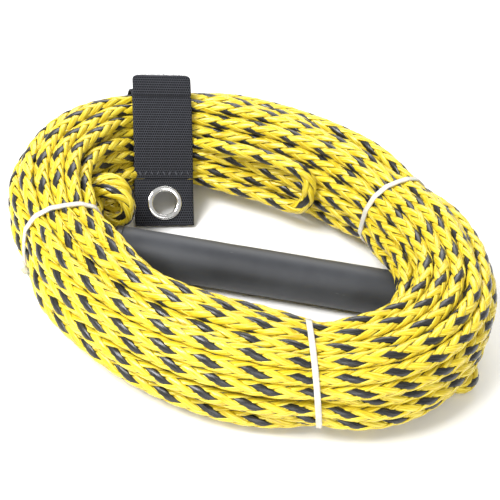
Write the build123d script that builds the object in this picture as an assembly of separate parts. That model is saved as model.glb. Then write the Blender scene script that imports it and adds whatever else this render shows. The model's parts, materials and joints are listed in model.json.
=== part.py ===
from build123d import *

import os
from math import atan2, cos, degrees, radians, sin, tan

os.makedirs("parts", exist_ok=True)

# A water-sports tow handle with its tow line wound into a tied oval hank.
# Frame: origin at the handle's centre on its axis, +X along the handle, +Z up.
# The hank and the handle lie on a flat surface. All sizes are in millimetres.

# ---------------------------------------------------------------- driving dimensions
# rope
ROPE_D = 9.5

# handle
HANDLE_LENGTH = 206.0
GRIP_D = 28.5
TUBE_D = 19.05
TUBE_WALL = 1.65
CAP_FLANGE = 5.0
CAP_SPIGOT = 14.0
CAP_EDGE = 2.2
ROPE_CLEARANCE = 0.4
CAP_RUN_FIT = 0.08
BOND_GAP = 0.05
REST_GAP = 0.3

# hank, an oval ring of four tangent arcs
HANK_CENTRE = (-23.0, 5.4)
HANK_TURN = -29.0
HANK_PAST_HANDLE = 21.5
HANK_HALF_WIDTH = 97.4
HANK_END_RADIUS = 80.0
BUNDLE_WIDTH = 58.0
BUNDLE_HEIGHT = 62.0
BUNDLE_ROUND = 24.0
HANDLE_TUNNEL_GAP = 0.6
HANDLE_TUNNEL_SPARE = 6.0
CUT_SPARE = 1.0
FILLET_SPARE = 0.01

# cable ties: outward-normal angle in the hank's own frame, and head side
TIE_ANGLES = {"left": 237.0, "right": 69.5, "front": 308.0}
TIE_HEAD_SIDES = {"left": -1, "right": -1, "front": 1}
TIE_WIDTH = 3.4
TIE_THICKNESS = 1.2
TIE_SQUEEZE = 3.5
TIE_SIDE_GAP = 1.0
TIE_HEAD_WIDTH = 5.6
TIE_HEAD_LENGTH = 6.5
TIE_HEAD_DEPTH = 4.0
TIE_HEAD_DROP = 32.0
TIE_HEAD_ROUND = 0.8
TIE_HEAD_SEAT = 0.2
TIE_TAIL_DEPTH = 2.4
TIE_TAIL = 7.0

# keeper strap
STRAP_ANGLE = 141.7
STRAP_SKEW = -6.7
STRAP_WIDTH = 38.0
STRAP_THICKNESS = 1.5
STRAP_SQUEEZE = 2.2
STRAP_SLOPE = 47.0
STRAP_FLAT_DEPTH = 16.8
STRAP_CORNER = 7.0
LOOP_THICKNESS = 0.8
HOOK_THICKNESS = 1.0
PATCH_MARGIN = 1.5
FRONT_ABOVE_FLAT = 3.0
FRONT_BELOW_FLAT = 12.8
TAB_LENGTH = 28.7
TAB_THICKNESS = 3.0
FLAP_LENGTH = 13.0
FLAP_BACK_LEAN = 38.0
HINGE_GAP = 0.3
SOFT_GAP = 0.3
STITCH_D = 0.9
STITCH_LENGTH = 3.2
STITCH_COUNT = 9
STITCH_LEAN = 28.0

# grommet
GROMMET_HOLE_D = 15.0
GROMMET_BARREL_D = 17.0
GROMMET_FLANGE_D = 22.0
GROMMET_RIM = 1.3
GROMMET_FIT = 0.05
GROMMET_FROM_END = 14.5
GROMMET_RIM_ROUND = 1.04
WASHER_ROUND = 0.78

# ---------------------------------------------------------------- worked-out values
ROPE_R = ROPE_D / 2
GRIP_R = GRIP_D / 2
TUBE_BORE_D = TUBE_D - 2 * TUBE_WALL
HALF_HANDLE = HANDLE_LENGTH / 2
HANK_HALF_LENGTH = HALF_HANDLE + HANK_PAST_HANDLE
FLOOR_Z = -(GRIP_R + REST_GAP)
SIDE_RADIUS = (
    (HANK_HALF_LENGTH**2 + HANK_HALF_WIDTH**2 - 2 * HANK_HALF_LENGTH * HANK_END_RADIUS)
    / (2 * (HANK_HALF_WIDTH - HANK_END_RADIUS))
)
END_CENTRE = HANK_HALF_LENGTH - HANK_END_RADIUS
SIDE_CENTRE = SIDE_RADIUS - HANK_HALF_WIDTH
JOIN_ANGLE = degrees(atan2(SIDE_CENTRE, END_CENTRE))
MID_Z = FLOOR_Z + BUNDLE_HEIGHT / 2
HANK_PLACE = Location((HANK_CENTRE[0], HANK_CENTRE[1], 0), (0, 0, HANK_TURN))


def save(shape, name):
    """Write one sub-part under its node name."""
    shape.label = name
    export_step(shape, f"parts/{name}.step")


def along_x(sketch, start, length):
    """Extrude a sketch drawn about the handle's axis along +X."""
    plane = Plane(origin=(start, 0, 0), x_dir=(0, 1, 0), z_dir=(1, 0, 0))
    return extrude(plane * sketch, length)


# ---------------------------------------------------------------- the hank's oval
def arc_data(angle):
    """Centre and radius of the oval's arc whose outward normal has this angle."""
    turn = (angle + 180) % 360 - 180
    if abs(turn) <= JOIN_ANGLE:
        return (END_CENTRE, 0), HANK_END_RADIUS
    if abs(turn) >= 180 - JOIN_ANGLE:
        return (-END_CENTRE, 0), HANK_END_RADIUS
    if turn > 0:
        return (0, -SIDE_CENTRE), SIDE_RADIUS
    return (0, SIDE_CENTRE), SIDE_RADIUS


def oval_point(angle, offset, height=0.0):
    """Point of the part frame at a distance outside the hank's centreline."""
    centre, radius = arc_data(angle)
    reach = radius + offset
    local = Vector(
        centre[0] + reach * cos(radians(angle)),
        centre[1] + reach * sin(radians(angle)),
        height,
    )
    return (HANK_PLACE * Location(local)).position


def station(angle, skew=0.0):
    """Section plane of the hank: local x points into the ring and local y up."""
    heading = radians(angle + HANK_TURN + skew)
    inward = Vector(-cos(heading), -sin(heading), 0)
    return Plane(origin=oval_point(angle, 0), x_dir=inward, z_dir=inward.cross(Vector(0, 0, 1)))


def oval_face(offset):
    """Flat oval face grown outward from the hank's centreline."""
    joins = [JOIN_ANGLE, 180 - JOIN_ANGLE, 180 + JOIN_ANGLE, 360 - JOIN_ANGLE]
    arcs = []
    for start, end in zip(joins, joins[1:] + [joins[0] + 360]):
        middle = (start + end) / 2
        centre, radius = arc_data(middle)
        reach = radius + offset
        points = [
            (centre[0] + reach * cos(radians(a)), centre[1] + reach * sin(radians(a)))
            for a in (start, middle, end)
        ]
        arcs.append(ThreePointArc(*points))
    return make_face(Wire(arcs))


def bundle_section(inset):
    """Rounded section of the rope bundle, drawn inward from its outer shape."""
    section = RectangleRounded(
        BUNDLE_WIDTH - 2 * inset,
        BUNDLE_HEIGHT - 2 * inset,
        BUNDLE_ROUND - inset,
    )
    return Pos(0, MID_Z) * section


def slab(section, sketch, width):
    """Extrude a section sketch equally to both sides of its plane."""
    return extrude(section * sketch, width / 2, both=True)


def groove(section, waist, width):
    """What is cut from the hank so that only the waist section is left."""
    room = Pos(0, MID_Z) * Rectangle(BUNDLE_WIDTH + BUNDLE_ROUND, BUNDLE_HEIGHT + BUNDLE_ROUND)
    return slab(section, room - waist, width)


# ---------------------------------------------------------------- keeper strap profile
STRAP_PLANE = station(STRAP_ANGLE, STRAP_SKEW)
SLOPE_DOWN = Vector(cos(radians(STRAP_SLOPE)), -sin(radians(STRAP_SLOPE)))
SLOPE_OUT = Vector(sin(radians(STRAP_SLOPE)), cos(radians(STRAP_SLOPE)))


def slope_point(depth, down):
    """Section point at a depth from the bundle's middle and a distance down the slope."""
    point = Vector(0, MID_Z) + SLOPE_OUT * depth + SLOPE_DOWN * down
    return (point.X, point.Y)


def slope_slab(inner, outer, top, bottom):
    """Rectangle between two depths and two places along the slope."""
    corners = [
        slope_point(inner, top),
        slope_point(outer, top),
        slope_point(outer, bottom),
        slope_point(inner, bottom),
    ]
    return make_face(Polyline(*corners, close=True))


def waist_section():
    """Bundle section under the strap, squeezed flat on its upper inner side."""
    section = bundle_section(STRAP_SQUEEZE)
    reach = 2 * BUNDLE_HEIGHT
    squeezed = section - slope_slab(STRAP_FLAT_DEPTH, reach, -reach, reach)
    core = offset(squeezed, -STRAP_CORNER, kind=Kind.INTERSECTION)
    return offset(core, STRAP_CORNER, kind=Kind.ARC)


WAIST = waist_section()
FLAT_EDGE = max(
    WAIST.edges().filter_by(GeomType.LINE),
    key=lambda edge: edge.length if abs((edge % 0).dot(SLOPE_DOWN)) > 0.99 else 0,
)
FLAT_PLACES = sorted((end - Vector(0, MID_Z)).dot(SLOPE_DOWN) for end in (FLAT_EDGE @ 0, FLAT_EDGE @ 1))
FLAT_TOP = FLAT_PLACES[0]
FLAT_BOTTOM = FLAT_PLACES[1]
WRAP_OUTER = STRAP_FLAT_DEPTH + SOFT_GAP + STRAP_THICKNESS
LOOP_OUTER = WRAP_OUTER + LOOP_THICKNESS
HOOK_OUTER = LOOP_OUTER + HOOK_THICKNESS
FRONT_OUTER = HOOK_OUTER + STRAP_THICKNESS
FRONT_MIDDLE = HOOK_OUTER + STRAP_THICKNESS / 2
FRONT_TOP = FLAT_TOP - FRONT_ABOVE_FLAT
TAB_PIVOT_PLACE = FLAT_BOTTOM + FRONT_BELOW_FLAT
FLAP_PIVOT = slope_point(FRONT_MIDDLE, FRONT_TOP - HINGE_GAP - STRAP_THICKNESS / 2)
TAB_PIVOT = slope_point(FRONT_MIDDLE, TAB_PIVOT_PLACE)
GROMMET_PLACE = TAB_PIVOT_PLACE + TAB_LENGTH - GROMMET_FROM_END


# ---------------------------------------------------------------- handle
def make_foam_grip():
    """Closed-cell foam sleeve between the two end caps."""
    length = HANDLE_LENGTH - 2 * CAP_FLANGE
    ring = Circle(GRIP_R) - Circle(TUBE_D / 2 + BOND_GAP)
    return along_x(ring, -length / 2, length)


def make_handle_tube():
    """Aluminium core tube, as long as the grip."""
    length = HANDLE_LENGTH - 2 * CAP_FLANGE
    ring = Circle(TUBE_D / 2) - Circle(TUBE_BORE_D / 2)
    return along_x(ring, -length / 2, length)


def make_end_cap(side):
    """Moulded cap: a rounded flange, a spigot in the tube and a flared rope hole."""
    rope_hole = ROPE_R + CAP_RUN_FIT
    flange = along_x(Circle(GRIP_R), HALF_HANDLE - CAP_FLANGE, CAP_FLANGE)
    outer_edge = flange.edges().filter_by(GeomType.CIRCLE).sort_by(Axis.X)[-1]
    flange = fillet(outer_edge, CAP_EDGE)
    spigot_start = HALF_HANDLE - CAP_FLANGE - CAP_SPIGOT
    spigot = along_x(Circle(TUBE_BORE_D / 2 - BOND_GAP), spigot_start, CAP_SPIGOT)
    cap = flange + spigot
    cap -= along_x(Circle(rope_hole), spigot_start, CAP_SPIGOT + CAP_FLANGE)
    mouth = cap.edges().filter_by(GeomType.CIRCLE).group_by(Axis.X)[-1].sort_by(Edge.length)[0]
    cap = fillet(mouth, CAP_EDGE / 2)
    if side < 0:
        cap = cap.mirror(Plane.YZ)
    return cap


def make_float_core():
    """Closed-cell sleeve that fills the tube round the rope and keeps it afloat."""
    length = HANDLE_LENGTH - 2 * (CAP_FLANGE + CAP_SPIGOT)
    ring = Circle(TUBE_BORE_D / 2 - BOND_GAP) - Circle(ROPE_R + ROPE_CLEARANCE)
    return along_x(ring, -length / 2, length)


# ---------------------------------------------------------------- rope
def corner_radii(points):
    """Arc radius at each inner point: 0.45 of the shorter run over the half turn's tangent."""
    radii = []
    for before, here, after in zip(points, points[1:], points[2:]):
        run_in = here - before
        run_out = after - here
        half_turn = radians(run_in.get_angle(run_out)) / 2
        radii.append(0.45 * min(run_in.length, run_out.length) / tan(half_turn))
    return radii


def rope_tube(name, route):
    """Round tube along straight runs joined by tangent arcs."""
    points = [Vector(*p) for p in route]
    radii = corner_radii(points)
    path = FilletPolyline(*points, radius=radii)
    section = Plane(origin=path @ 0, z_dir=path % 0) * Circle(ROPE_R)
    tube = sweep(section, path=path)
    expected = path.length * (Circle(ROPE_R).area)
    print(
        name,
        "length", round(path.length, 1),
        "radii", [round(r, 1) for r in radii],
        "volume ratio", round(tube.volume / expected, 4),
    )
    return tube


def straight_rope(start, length):
    """Straight rope on the handle's axis."""
    return along_x(Circle(ROPE_R), start, length)


BIGHT_SPACING = 22.0
LEFT_BIGHT_X = -98.0
LEFT_BIGHT_Y = 20.0
LEFT_BIGHT_LOW = 4.0
BACK_BIGHT_SPACING = 30.0
BACK_BIGHT_LOW = 4.0
BACK_BIGHT_ANGLES = (118.0, 103.5, 89.0)
BACK_BIGHT_SINK = 2.0
EYE_RADIAL = 27.0
EYE_LEG = 22.0
EYE_MIDDLE_ANGLE = 9.0
LEFT_LEG_LENGTH = 9.0
RIGHT_LEG_SINK = 4.0


def left_bight_route():
    """Tight bight of rope that stands out of the bundle beside the handle's left end."""
    low = LEFT_BIGHT_LOW
    high = low + BIGHT_SPACING
    back = LEFT_BIGHT_X - BIGHT_SPACING
    return [
        (back, LEFT_BIGHT_Y + 2, high),
        (LEFT_BIGHT_X, LEFT_BIGHT_Y, high),
        (LEFT_BIGHT_X, LEFT_BIGHT_Y, low),
        (back, LEFT_BIGHT_Y + 3, low),
    ]


def back_bight_route():
    """Bight that lies along the inner face of the back run."""
    offset = -(BUNDLE_WIDTH / 2 + ROPE_R - BACK_BIGHT_SINK)
    low = BACK_BIGHT_LOW
    high = low + BACK_BIGHT_SPACING
    upper = [tuple(oval_point(a, offset, high)) for a in BACK_BIGHT_ANGLES]
    lower = [tuple(oval_point(a, offset, low)) for a in reversed(BACK_BIGHT_ANGLES)]
    return upper + lower


def eye_route():
    """Boat-end eye that peeps out from under the bundle's outer side."""
    axis_z = FLOOR_Z + ROPE_R + REST_GAP
    tip = oval_point(EYE_MIDDLE_ANGLE, EYE_RADIAL, axis_z)
    root = oval_point(EYE_MIDDLE_ANGLE, EYE_RADIAL - EYE_LEG, axis_z)
    outward = (tip - root).normalized()
    across = outward.cross(Vector(0, 0, 1)) * (BIGHT_SPACING / 2)
    return [tuple(root + across), tuple(tip + across), tuple(tip - across), tuple(root - across)]


# ---------------------------------------------------------------- hank
def tunnel():
    """Clear way for the handle through the bundle, open to the floor."""
    radius = GRIP_R + HANDLE_TUNNEL_GAP
    start = -HALF_HANDLE - CUT_SPARE
    length = HANDLE_LENGTH + CUT_SPARE + HANDLE_TUNNEL_SPARE
    drop = -FLOOR_Z + CUT_SPARE
    profile = Circle(radius) + Pos(0, -drop / 2) * Rectangle(2 * radius, drop)
    return along_x(profile, start, length)


def make_hank():
    """Outer shape of the wound line, waisted under the strap and the ties."""
    ring = oval_face(BUNDLE_WIDTH / 2) - oval_face(-BUNDLE_WIDTH / 2)
    body = extrude(ring, BUNDLE_HEIGHT)
    body = fillet(body.faces().filter_by(Plane.XY).edges(), BUNDLE_ROUND - FILLET_SPARE)
    body = HANK_PLACE * (Pos(0, 0, FLOOR_Z) * body)
    body -= groove(STRAP_PLANE, WAIST, STRAP_WIDTH + 2 * TIE_SIDE_GAP)
    for angle in TIE_ANGLES.values():
        body -= groove(station(angle), bundle_section(TIE_SQUEEZE), TIE_HEAD_WIDTH + 2 * TIE_SIDE_GAP)
    body -= tunnel()
    return body


def make_tie(side_name):
    """Cable tie: a toothless band, its square head and the cut tail."""
    angle = TIE_ANGLES[side_name]
    side = TIE_HEAD_SIDES[side_name]
    inner = bundle_section(TIE_SQUEEZE - SOFT_GAP)
    outer = bundle_section(TIE_SQUEEZE - SOFT_GAP - TIE_THICKNESS)
    section = station(angle)
    band = slab(section, outer - inner, TIE_WIDTH)
    arc_centre = (
        side * (BUNDLE_WIDTH / 2 - BUNDLE_ROUND),
        MID_Z - (BUNDLE_HEIGHT / 2 - BUNDLE_ROUND),
    )
    inner_reach = BUNDLE_ROUND - TIE_SQUEEZE + SOFT_GAP + TIE_HEAD_SEAT
    turn = -TIE_HEAD_DROP if side > 0 else 180 + TIE_HEAD_DROP
    place = Pos(*arc_centre) * Rot(0, 0, turn)
    head_sketch = place * Pos(inner_reach + TIE_HEAD_DEPTH / 2, 0) * RectangleRounded(
        TIE_HEAD_DEPTH, TIE_HEAD_LENGTH, TIE_HEAD_ROUND
    )
    head = slab(section, head_sketch, TIE_HEAD_WIDTH)
    tail_length = TIE_TAIL + TIE_HEAD_LENGTH / 2
    tail_sketch = place * Pos(inner_reach + TIE_TAIL_DEPTH, -side * tail_length / 2) * Rectangle(
        TIE_THICKNESS, tail_length
    )
    tail = slab(section, tail_sketch, TIE_WIDTH)
    return band + head + tail


# ---------------------------------------------------------------- keeper strap parts
def make_wrap():
    """Webbing turn that hugs the bundle."""
    inner = offset(WAIST, SOFT_GAP)
    outer = offset(WAIST, SOFT_GAP + STRAP_THICKNESS)
    return slab(STRAP_PLANE, outer - inner, STRAP_WIDTH)


def make_patch(inner, outer):
    """Hook or loop tape on the flat of the slope."""
    middle = (FLAT_TOP + FLAT_BOTTOM) / 2
    length = FLAT_BOTTOM - FLAT_TOP
    sketch = slope_slab(inner, outer, middle - length / 2, middle + length / 2)
    return slab(STRAP_PLANE, sketch, STRAP_WIDTH - 2 * PATCH_MARGIN)


def make_front():
    """Outer webbing run from the closing flap down to the tab's stitches."""
    bottom = TAB_PIVOT_PLACE - TAB_THICKNESS / 2 - HINGE_GAP
    return slab(STRAP_PLANE, slope_slab(HOOK_OUTER, FRONT_OUTER, FRONT_TOP, bottom), STRAP_WIDTH)


def slope_plane(depth, down):
    """Plane on the slope: local x down the slope, local z out of the webbing."""
    at = slope_point(depth, down)
    origin = STRAP_PLANE.from_local_coords(Vector(at[0], at[1], 0))
    x_dir = STRAP_PLANE.from_local_coords(SLOPE_DOWN) - STRAP_PLANE.origin
    z_dir = STRAP_PLANE.from_local_coords(SLOPE_OUT) - STRAP_PLANE.origin
    return Plane(origin=origin, x_dir=x_dir, z_dir=z_dir)


def make_tab():
    """Doubled webbing tab with a round upper edge that turns at the stitch line."""
    half = TAB_THICKNESS / 2
    body = slope_slab(
        FRONT_MIDDLE - half, FRONT_MIDDLE + half, TAB_PIVOT_PLACE, TAB_PIVOT_PLACE + TAB_LENGTH
    )
    knuckle = Pos(*TAB_PIVOT) * Circle(half)
    tab = slab(STRAP_PLANE, body + knuckle, STRAP_WIDTH)
    hole = slope_plane(FRONT_MIDDLE - half, GROMMET_PLACE) * Circle(GROMMET_BARREL_D / 2 + GROMMET_FIT)
    tab -= extrude(hole, TAB_THICKNESS * 2, both=True)
    return tab


def make_flap():
    """Free end of the closure, which stands up above the bundle."""
    half = STRAP_THICKNESS / 2
    lean = 90 + FLAP_BACK_LEAN
    bar = Pos(FLAP_LENGTH / 2, 0) * Rectangle(FLAP_LENGTH, STRAP_THICKNESS)
    sketch = Pos(*FLAP_PIVOT) * Rot(0, 0, lean) * (bar + Circle(half))
    return slab(STRAP_PLANE, sketch, STRAP_WIDTH)


def make_stitches():
    """Bar stitches that close the hem just above the tab."""
    down = TAB_PIVOT_PLACE - TAB_THICKNESS / 2 - HINGE_GAP - STITCH_LENGTH
    pitch = (STRAP_WIDTH - 2 * PATCH_MARGIN) / STITCH_COUNT
    plane = slope_plane(FRONT_OUTER, down)
    solids = []
    for index in range(STITCH_COUNT):
        across = (index - (STITCH_COUNT - 1) / 2) * pitch
        lean = STITCH_LEAN if index % 2 else -STITCH_LEAN
        bar = plane * Pos(0, across, STITCH_D / 2) * Rot(0, 0, lean) * Box(STITCH_LENGTH, STITCH_D, STITCH_D)
        solids.append(bar)
    return Compound(solids)


def make_eyelet():
    """Grommet eyelet: rolled front rim, barrel and the roll that holds the washer."""
    plane = slope_plane(FRONT_MIDDLE, GROMMET_PLACE)
    half = TAB_THICKNESS / 2
    hole = GROMMET_HOLE_D / 2
    barrel = GROMMET_BARREL_D / 2
    rim = GROMMET_FLANGE_D / 2
    back = -(half + GROMMET_RIM * 2)
    barrel_ring = Pos(0, 0, back) * extrude(Circle(barrel) - Circle(hole), half - back)
    front_ring = Pos(0, 0, half) * extrude(Circle(rim) - Circle(hole), GROMMET_RIM)
    front_edges = front_ring.edges().filter_by(GeomType.CIRCLE).group_by(Axis.Z)[-1]
    front_ring = fillet(front_edges, GROMMET_RIM_ROUND)
    return plane * (barrel_ring + front_ring)


def make_washer():
    """Grommet washer behind the tab, round the eyelet's barrel."""
    plane = slope_plane(FRONT_MIDDLE, GROMMET_PLACE)
    half = TAB_THICKNESS / 2
    ring = Circle(GROMMET_FLANGE_D / 2) - Circle(GROMMET_BARREL_D / 2 + GROMMET_FIT)
    washer = Pos(0, 0, -half - GROMMET_RIM) * extrude(ring, GROMMET_RIM)
    rim_edges = washer.edges().filter_by(GeomType.CIRCLE).group_by(Axis.Z)[0].sort_by(Edge.length)[-1]
    washer = fillet(rim_edges, WASHER_ROUND)
    return plane * washer


# ---------------------------------------------------------------- write every node
save(make_hank(), "rope_hank")
save(straight_rope(-HALF_HANDLE, HANDLE_LENGTH), "bridle_rope_in_handle")
save(straight_rope(-HALF_HANDLE - LEFT_LEG_LENGTH, LEFT_LEG_LENGTH), "bridle_leg_left")
save(straight_rope(HALF_HANDLE, HANDLE_TUNNEL_SPARE + RIGHT_LEG_SINK), "bridle_leg_right")
save(rope_tube("rope_bight_left", left_bight_route()), "rope_bight_left")
save(rope_tube("rope_bight_back", back_bight_route()), "rope_bight_back")
save(rope_tube("boat_end_eye", eye_route()), "boat_end_eye")
save(make_foam_grip(), "foam_grip")
save(make_handle_tube(), "handle_tube")
save(make_float_core(), "float_core")
save(make_end_cap(-1), "end_cap_left")
save(make_end_cap(1), "end_cap_right")
save(make_wrap(), "keeper_wrap")
save(make_patch(WRAP_OUTER, LOOP_OUTER), "keeper_loop_patch")
save(make_patch(LOOP_OUTER, HOOK_OUTER), "keeper_hook_patch")
save(make_front(), "keeper_front_run")
save(make_tab(), "keeper_tab")
save(make_flap(), "keeper_closing_flap")
save(make_stitches(), "keeper_stitches")
save(make_eyelet(), "grommet_eyelet")
save(make_washer(), "grommet_washer")
for tie_name in TIE_ANGLES:
    save(make_tie(tie_name), f"cable_tie_{tie_name}")


def show_place(name, point):
    """Print a place or direction of the part frame."""
    print(name, [round(value, 4) for value in point])


show_place("tab pivot", slope_plane(FRONT_MIDDLE, TAB_PIVOT_PLACE).origin)
show_place("flap pivot", STRAP_PLANE.from_local_coords(Vector(*FLAP_PIVOT)))
show_place("strap hinge axis", STRAP_PLANE.z_dir)
show_place("grommet centre", slope_plane(FRONT_MIDDLE, GROMMET_PLACE).origin)
show_place("grommet axis", slope_plane(FRONT_MIDDLE, GROMMET_PLACE).z_dir)
show_place("rest face", oval_point(90.0, 0, FLOOR_Z))
show_place("eye tip", Vector(*eye_route()[1]) * 0.5 + Vector(*eye_route()[2]) * 0.5)
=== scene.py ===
"""Looks of a water-sports tow handle with its tow line wound into a tied oval hank."""

import sys

import json
import logging
import math
from dataclasses import dataclass, field, fields, replace
from enum import Enum

import bmesh
import bpy
import numpy as np
from mathutils import Matrix, Vector
from mathutils.geometry import convex_hull_2d


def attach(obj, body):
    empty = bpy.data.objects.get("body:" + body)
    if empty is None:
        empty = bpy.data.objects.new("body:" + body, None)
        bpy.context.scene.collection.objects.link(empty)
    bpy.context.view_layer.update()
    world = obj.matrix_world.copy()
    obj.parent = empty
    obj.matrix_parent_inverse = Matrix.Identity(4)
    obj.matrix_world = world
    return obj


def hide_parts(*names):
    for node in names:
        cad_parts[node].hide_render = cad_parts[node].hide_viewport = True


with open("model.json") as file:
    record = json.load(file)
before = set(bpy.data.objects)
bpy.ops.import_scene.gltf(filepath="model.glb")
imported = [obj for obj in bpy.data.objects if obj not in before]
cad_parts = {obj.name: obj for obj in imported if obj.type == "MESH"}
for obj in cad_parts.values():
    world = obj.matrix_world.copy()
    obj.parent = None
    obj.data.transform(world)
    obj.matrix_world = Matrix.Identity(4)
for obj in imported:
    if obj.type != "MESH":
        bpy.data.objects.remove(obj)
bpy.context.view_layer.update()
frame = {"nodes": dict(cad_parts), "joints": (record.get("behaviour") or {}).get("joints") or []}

LOG = logging.getLogger("tow_handle")
MM = 0.001
UP = np.array([0.0, 0.0, 1.0])


class Body(str, Enum):
    """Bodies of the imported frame."""

    HANK = "hank"
    HANDLE = "handle"
    TAB = "tab"
    FLAP = "flap"


class Way(Enum):
    """Which way round the oval a run of line is laid, seen from above."""

    CLOCKWISE = -1
    COUNTER = 1


# ------------------------------------------------------------------ small geometry helpers
def unit(vector: np.ndarray) -> np.ndarray:
    """Vectors scaled to length one along the last axis."""
    return vector / np.maximum(np.linalg.norm(vector, axis=-1, keepdims=True), 1e-12)


def arc_lengths(line: np.ndarray) -> np.ndarray:
    """Distance along a polyline at each of its points."""
    return np.concatenate([[0.0], np.cumsum(np.linalg.norm(np.diff(line, axis=0), axis=1))])


def resample(line: np.ndarray, step: float) -> np.ndarray:
    """Points about one step apart along a polyline.

    Args:
        line: Points of the polyline, one per row.
        step: Wanted distance between neighbours.

    Returns:
        The evenly spaced points, both ends included.
    """
    along = arc_lengths(line)
    at = np.linspace(0.0, along[-1], max(3, int(round(along[-1] / step)) + 1))
    return np.stack([np.interp(at, along, line[:, k]) for k in range(line.shape[1])], axis=1)


def smooth_step(value: np.ndarray, low: float, high: float) -> np.ndarray:
    """Smooth rise from 0 at low to 1 at high."""
    t = np.clip((value - low) / (high - low), 0.0, 1.0)
    return t * t * (3 - 2 * t)


def ring_quads(rings: int, points: int) -> np.ndarray:
    """Quads of a tube made of closed rings of equally many points."""
    i = np.arange(rings - 1)[:, None]
    j = np.arange(points)[None, :]
    a = i * points + j
    b = i * points + (j + 1) % points
    return np.stack([a, b, b + points, a + points], axis=-1).reshape(-1, 4)


def joined(quads: np.ndarray, rings: int, points: int) -> np.ndarray:
    """Quads of a tube whose last ring joins its first."""
    i = (rings - 1) * points
    j = np.arange(points)
    k = (j + 1) % points
    return np.concatenate([quads, np.stack([i + j, i + k, k, j], axis=-1)])


def end_caps(base: int, rings: int, points: int) -> list[list[int]]:
    """Faces that close both ends of a tube of rings whose first corner is base."""
    last = base + (rings - 1) * points
    return [[base + k for k in reversed(range(points))], [last + k for k in range(points)]]


def make_piece(
    name: str,
    points: np.ndarray,
    quads: np.ndarray,
    caps: list[list[int]] | None = None,
    uvs: dict[str, np.ndarray] | None = None,
) -> bpy.types.Object:
    """Make a smooth-shaded mesh object.

    Args:
        name: Name of the object and its mesh.
        points: Corner places in metres.
        quads: Corner indices, four to a row.
        caps: Further faces of any number of corners.
        uvs: UV maps by name, one row for each corner of each quad.

    Returns:
        The linked object.
    """
    caps = caps or []
    mesh = bpy.data.meshes.new(name)
    loops = np.concatenate([quads.ravel(), *[np.asarray(c) for c in caps]]).astype(np.int32)
    sizes = np.concatenate([np.full(len(quads), 4), [len(c) for c in caps]]).astype(np.int32)
    mesh.vertices.add(len(points))
    mesh.vertices.foreach_set("co", np.asarray(points, np.float32).ravel())
    mesh.loops.add(len(loops))
    mesh.loops.foreach_set("vertex_index", loops)
    mesh.polygons.add(len(sizes))
    starts = np.concatenate([[0], np.cumsum(sizes)[:-1]]).astype(np.int32)
    mesh.polygons.foreach_set("loop_start", starts)
    mesh.polygons.foreach_set("use_smooth", np.ones(len(sizes), bool))
    mesh.update(calc_edges=True)
    for map_name, values in (uvs or {}).items():
        layer = mesh.uv_layers.new(name=map_name)
        full = np.zeros((len(loops), 2), np.float32)
        full[: len(values)] = values
        layer.data.foreach_set("uv", full.ravel())
    mesh.validate()
    piece = bpy.data.objects.new(name, mesh)
    bpy.context.scene.collection.objects.link(piece)
    return piece


def thick_sheet(
    name: str,
    front: np.ndarray,
    back: np.ndarray,
    plan: np.ndarray,
    keep: np.ndarray | None,
    closed: bool,
) -> bpy.types.Object:
    """Close two grids of points into one thick sheet.

    Args:
        name: Name of the piece.
        front: Grid of points on the front, rows by columns by three.
        back: Grid of points on the back, of the same shape.
        plan: Where each point lies on the flat sheet, rows by columns by two.
        keep: Which cells are cloth; the others are a hole.
        closed: Whether the last row joins the first.

    Returns:
        The sheet, with walls round every open edge.
    """
    rows, cols = front.shape[:2]
    cell_rows = rows if closed else rows - 1
    i = np.arange(cell_rows)[:, None]
    j = np.arange(cols - 1)[None, :]
    after = (i + 1) % rows
    quads = np.stack([i * cols + j, i * cols + j + 1, after * cols + j + 1, after * cols + j], axis=-1)
    quads = quads[keep] if keep is not None else quads.reshape(-1, 4)
    edges: dict[tuple[int, int], int] = {}
    for quad in quads.tolist():
        for a, b in zip(quad, quad[1:] + quad[:1]):
            if (b, a) in edges:
                del edges[(b, a)]
            else:
                edges[(a, b)] = 1
    count = rows * cols
    walls = np.array([(b, a, a + count, b + count) for a, b in edges])
    points = np.concatenate([front.reshape(-1, 3), back.reshape(-1, 3)])
    faces = np.concatenate([quads, quads[:, ::-1] + count, walls])
    used = np.unique(faces)
    renumber = np.zeros(len(points), int)
    renumber[used] = np.arange(len(used))
    weave = plan.reshape(-1, 2)[faces.ravel() % count]
    return make_piece(name, points[used], renumber[faces], uvs={"Weave": weave})


def lathe(
    name: str,
    profile: np.ndarray,
    centre: np.ndarray,
    axis: np.ndarray,
    around: int,
) -> bpy.types.Object:
    """Turn a closed profile about an axis.

    Args:
        name: Name of the piece.
        profile: Points (radius, height along the axis), in order round the section.
        centre: Where height is zero.
        axis: Unit direction of the axis.
        around: How many places the profile takes round the axis.

    Returns:
        The turned piece.
    """
    side = unit(np.cross(axis, UP if abs(axis[2]) < 0.9 else np.array([1.0, 0.0, 0.0])))
    other = np.cross(axis, side)
    turn = np.linspace(0, 2 * math.pi, around, endpoint=False)[:, None]
    out = np.cos(turn)[..., None] * side + np.sin(turn)[..., None] * other
    points = centre + out * profile[None, :, :1] + axis * profile[None, :, 1:]
    count = len(profile)
    quads = joined(ring_quads(around, count), around, count)
    piece = make_piece(name, points.reshape(-1, 3), quads)
    clean_normals(piece)
    return piece


def clean_normals(piece: bpy.types.Object) -> None:
    """Turn every face of a closed mesh outwards."""
    work = bmesh.new()
    work.from_mesh(piece.data)
    bmesh.ops.recalc_face_normals(work, faces=work.faces)
    work.to_mesh(piece.data)
    work.free()


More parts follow.
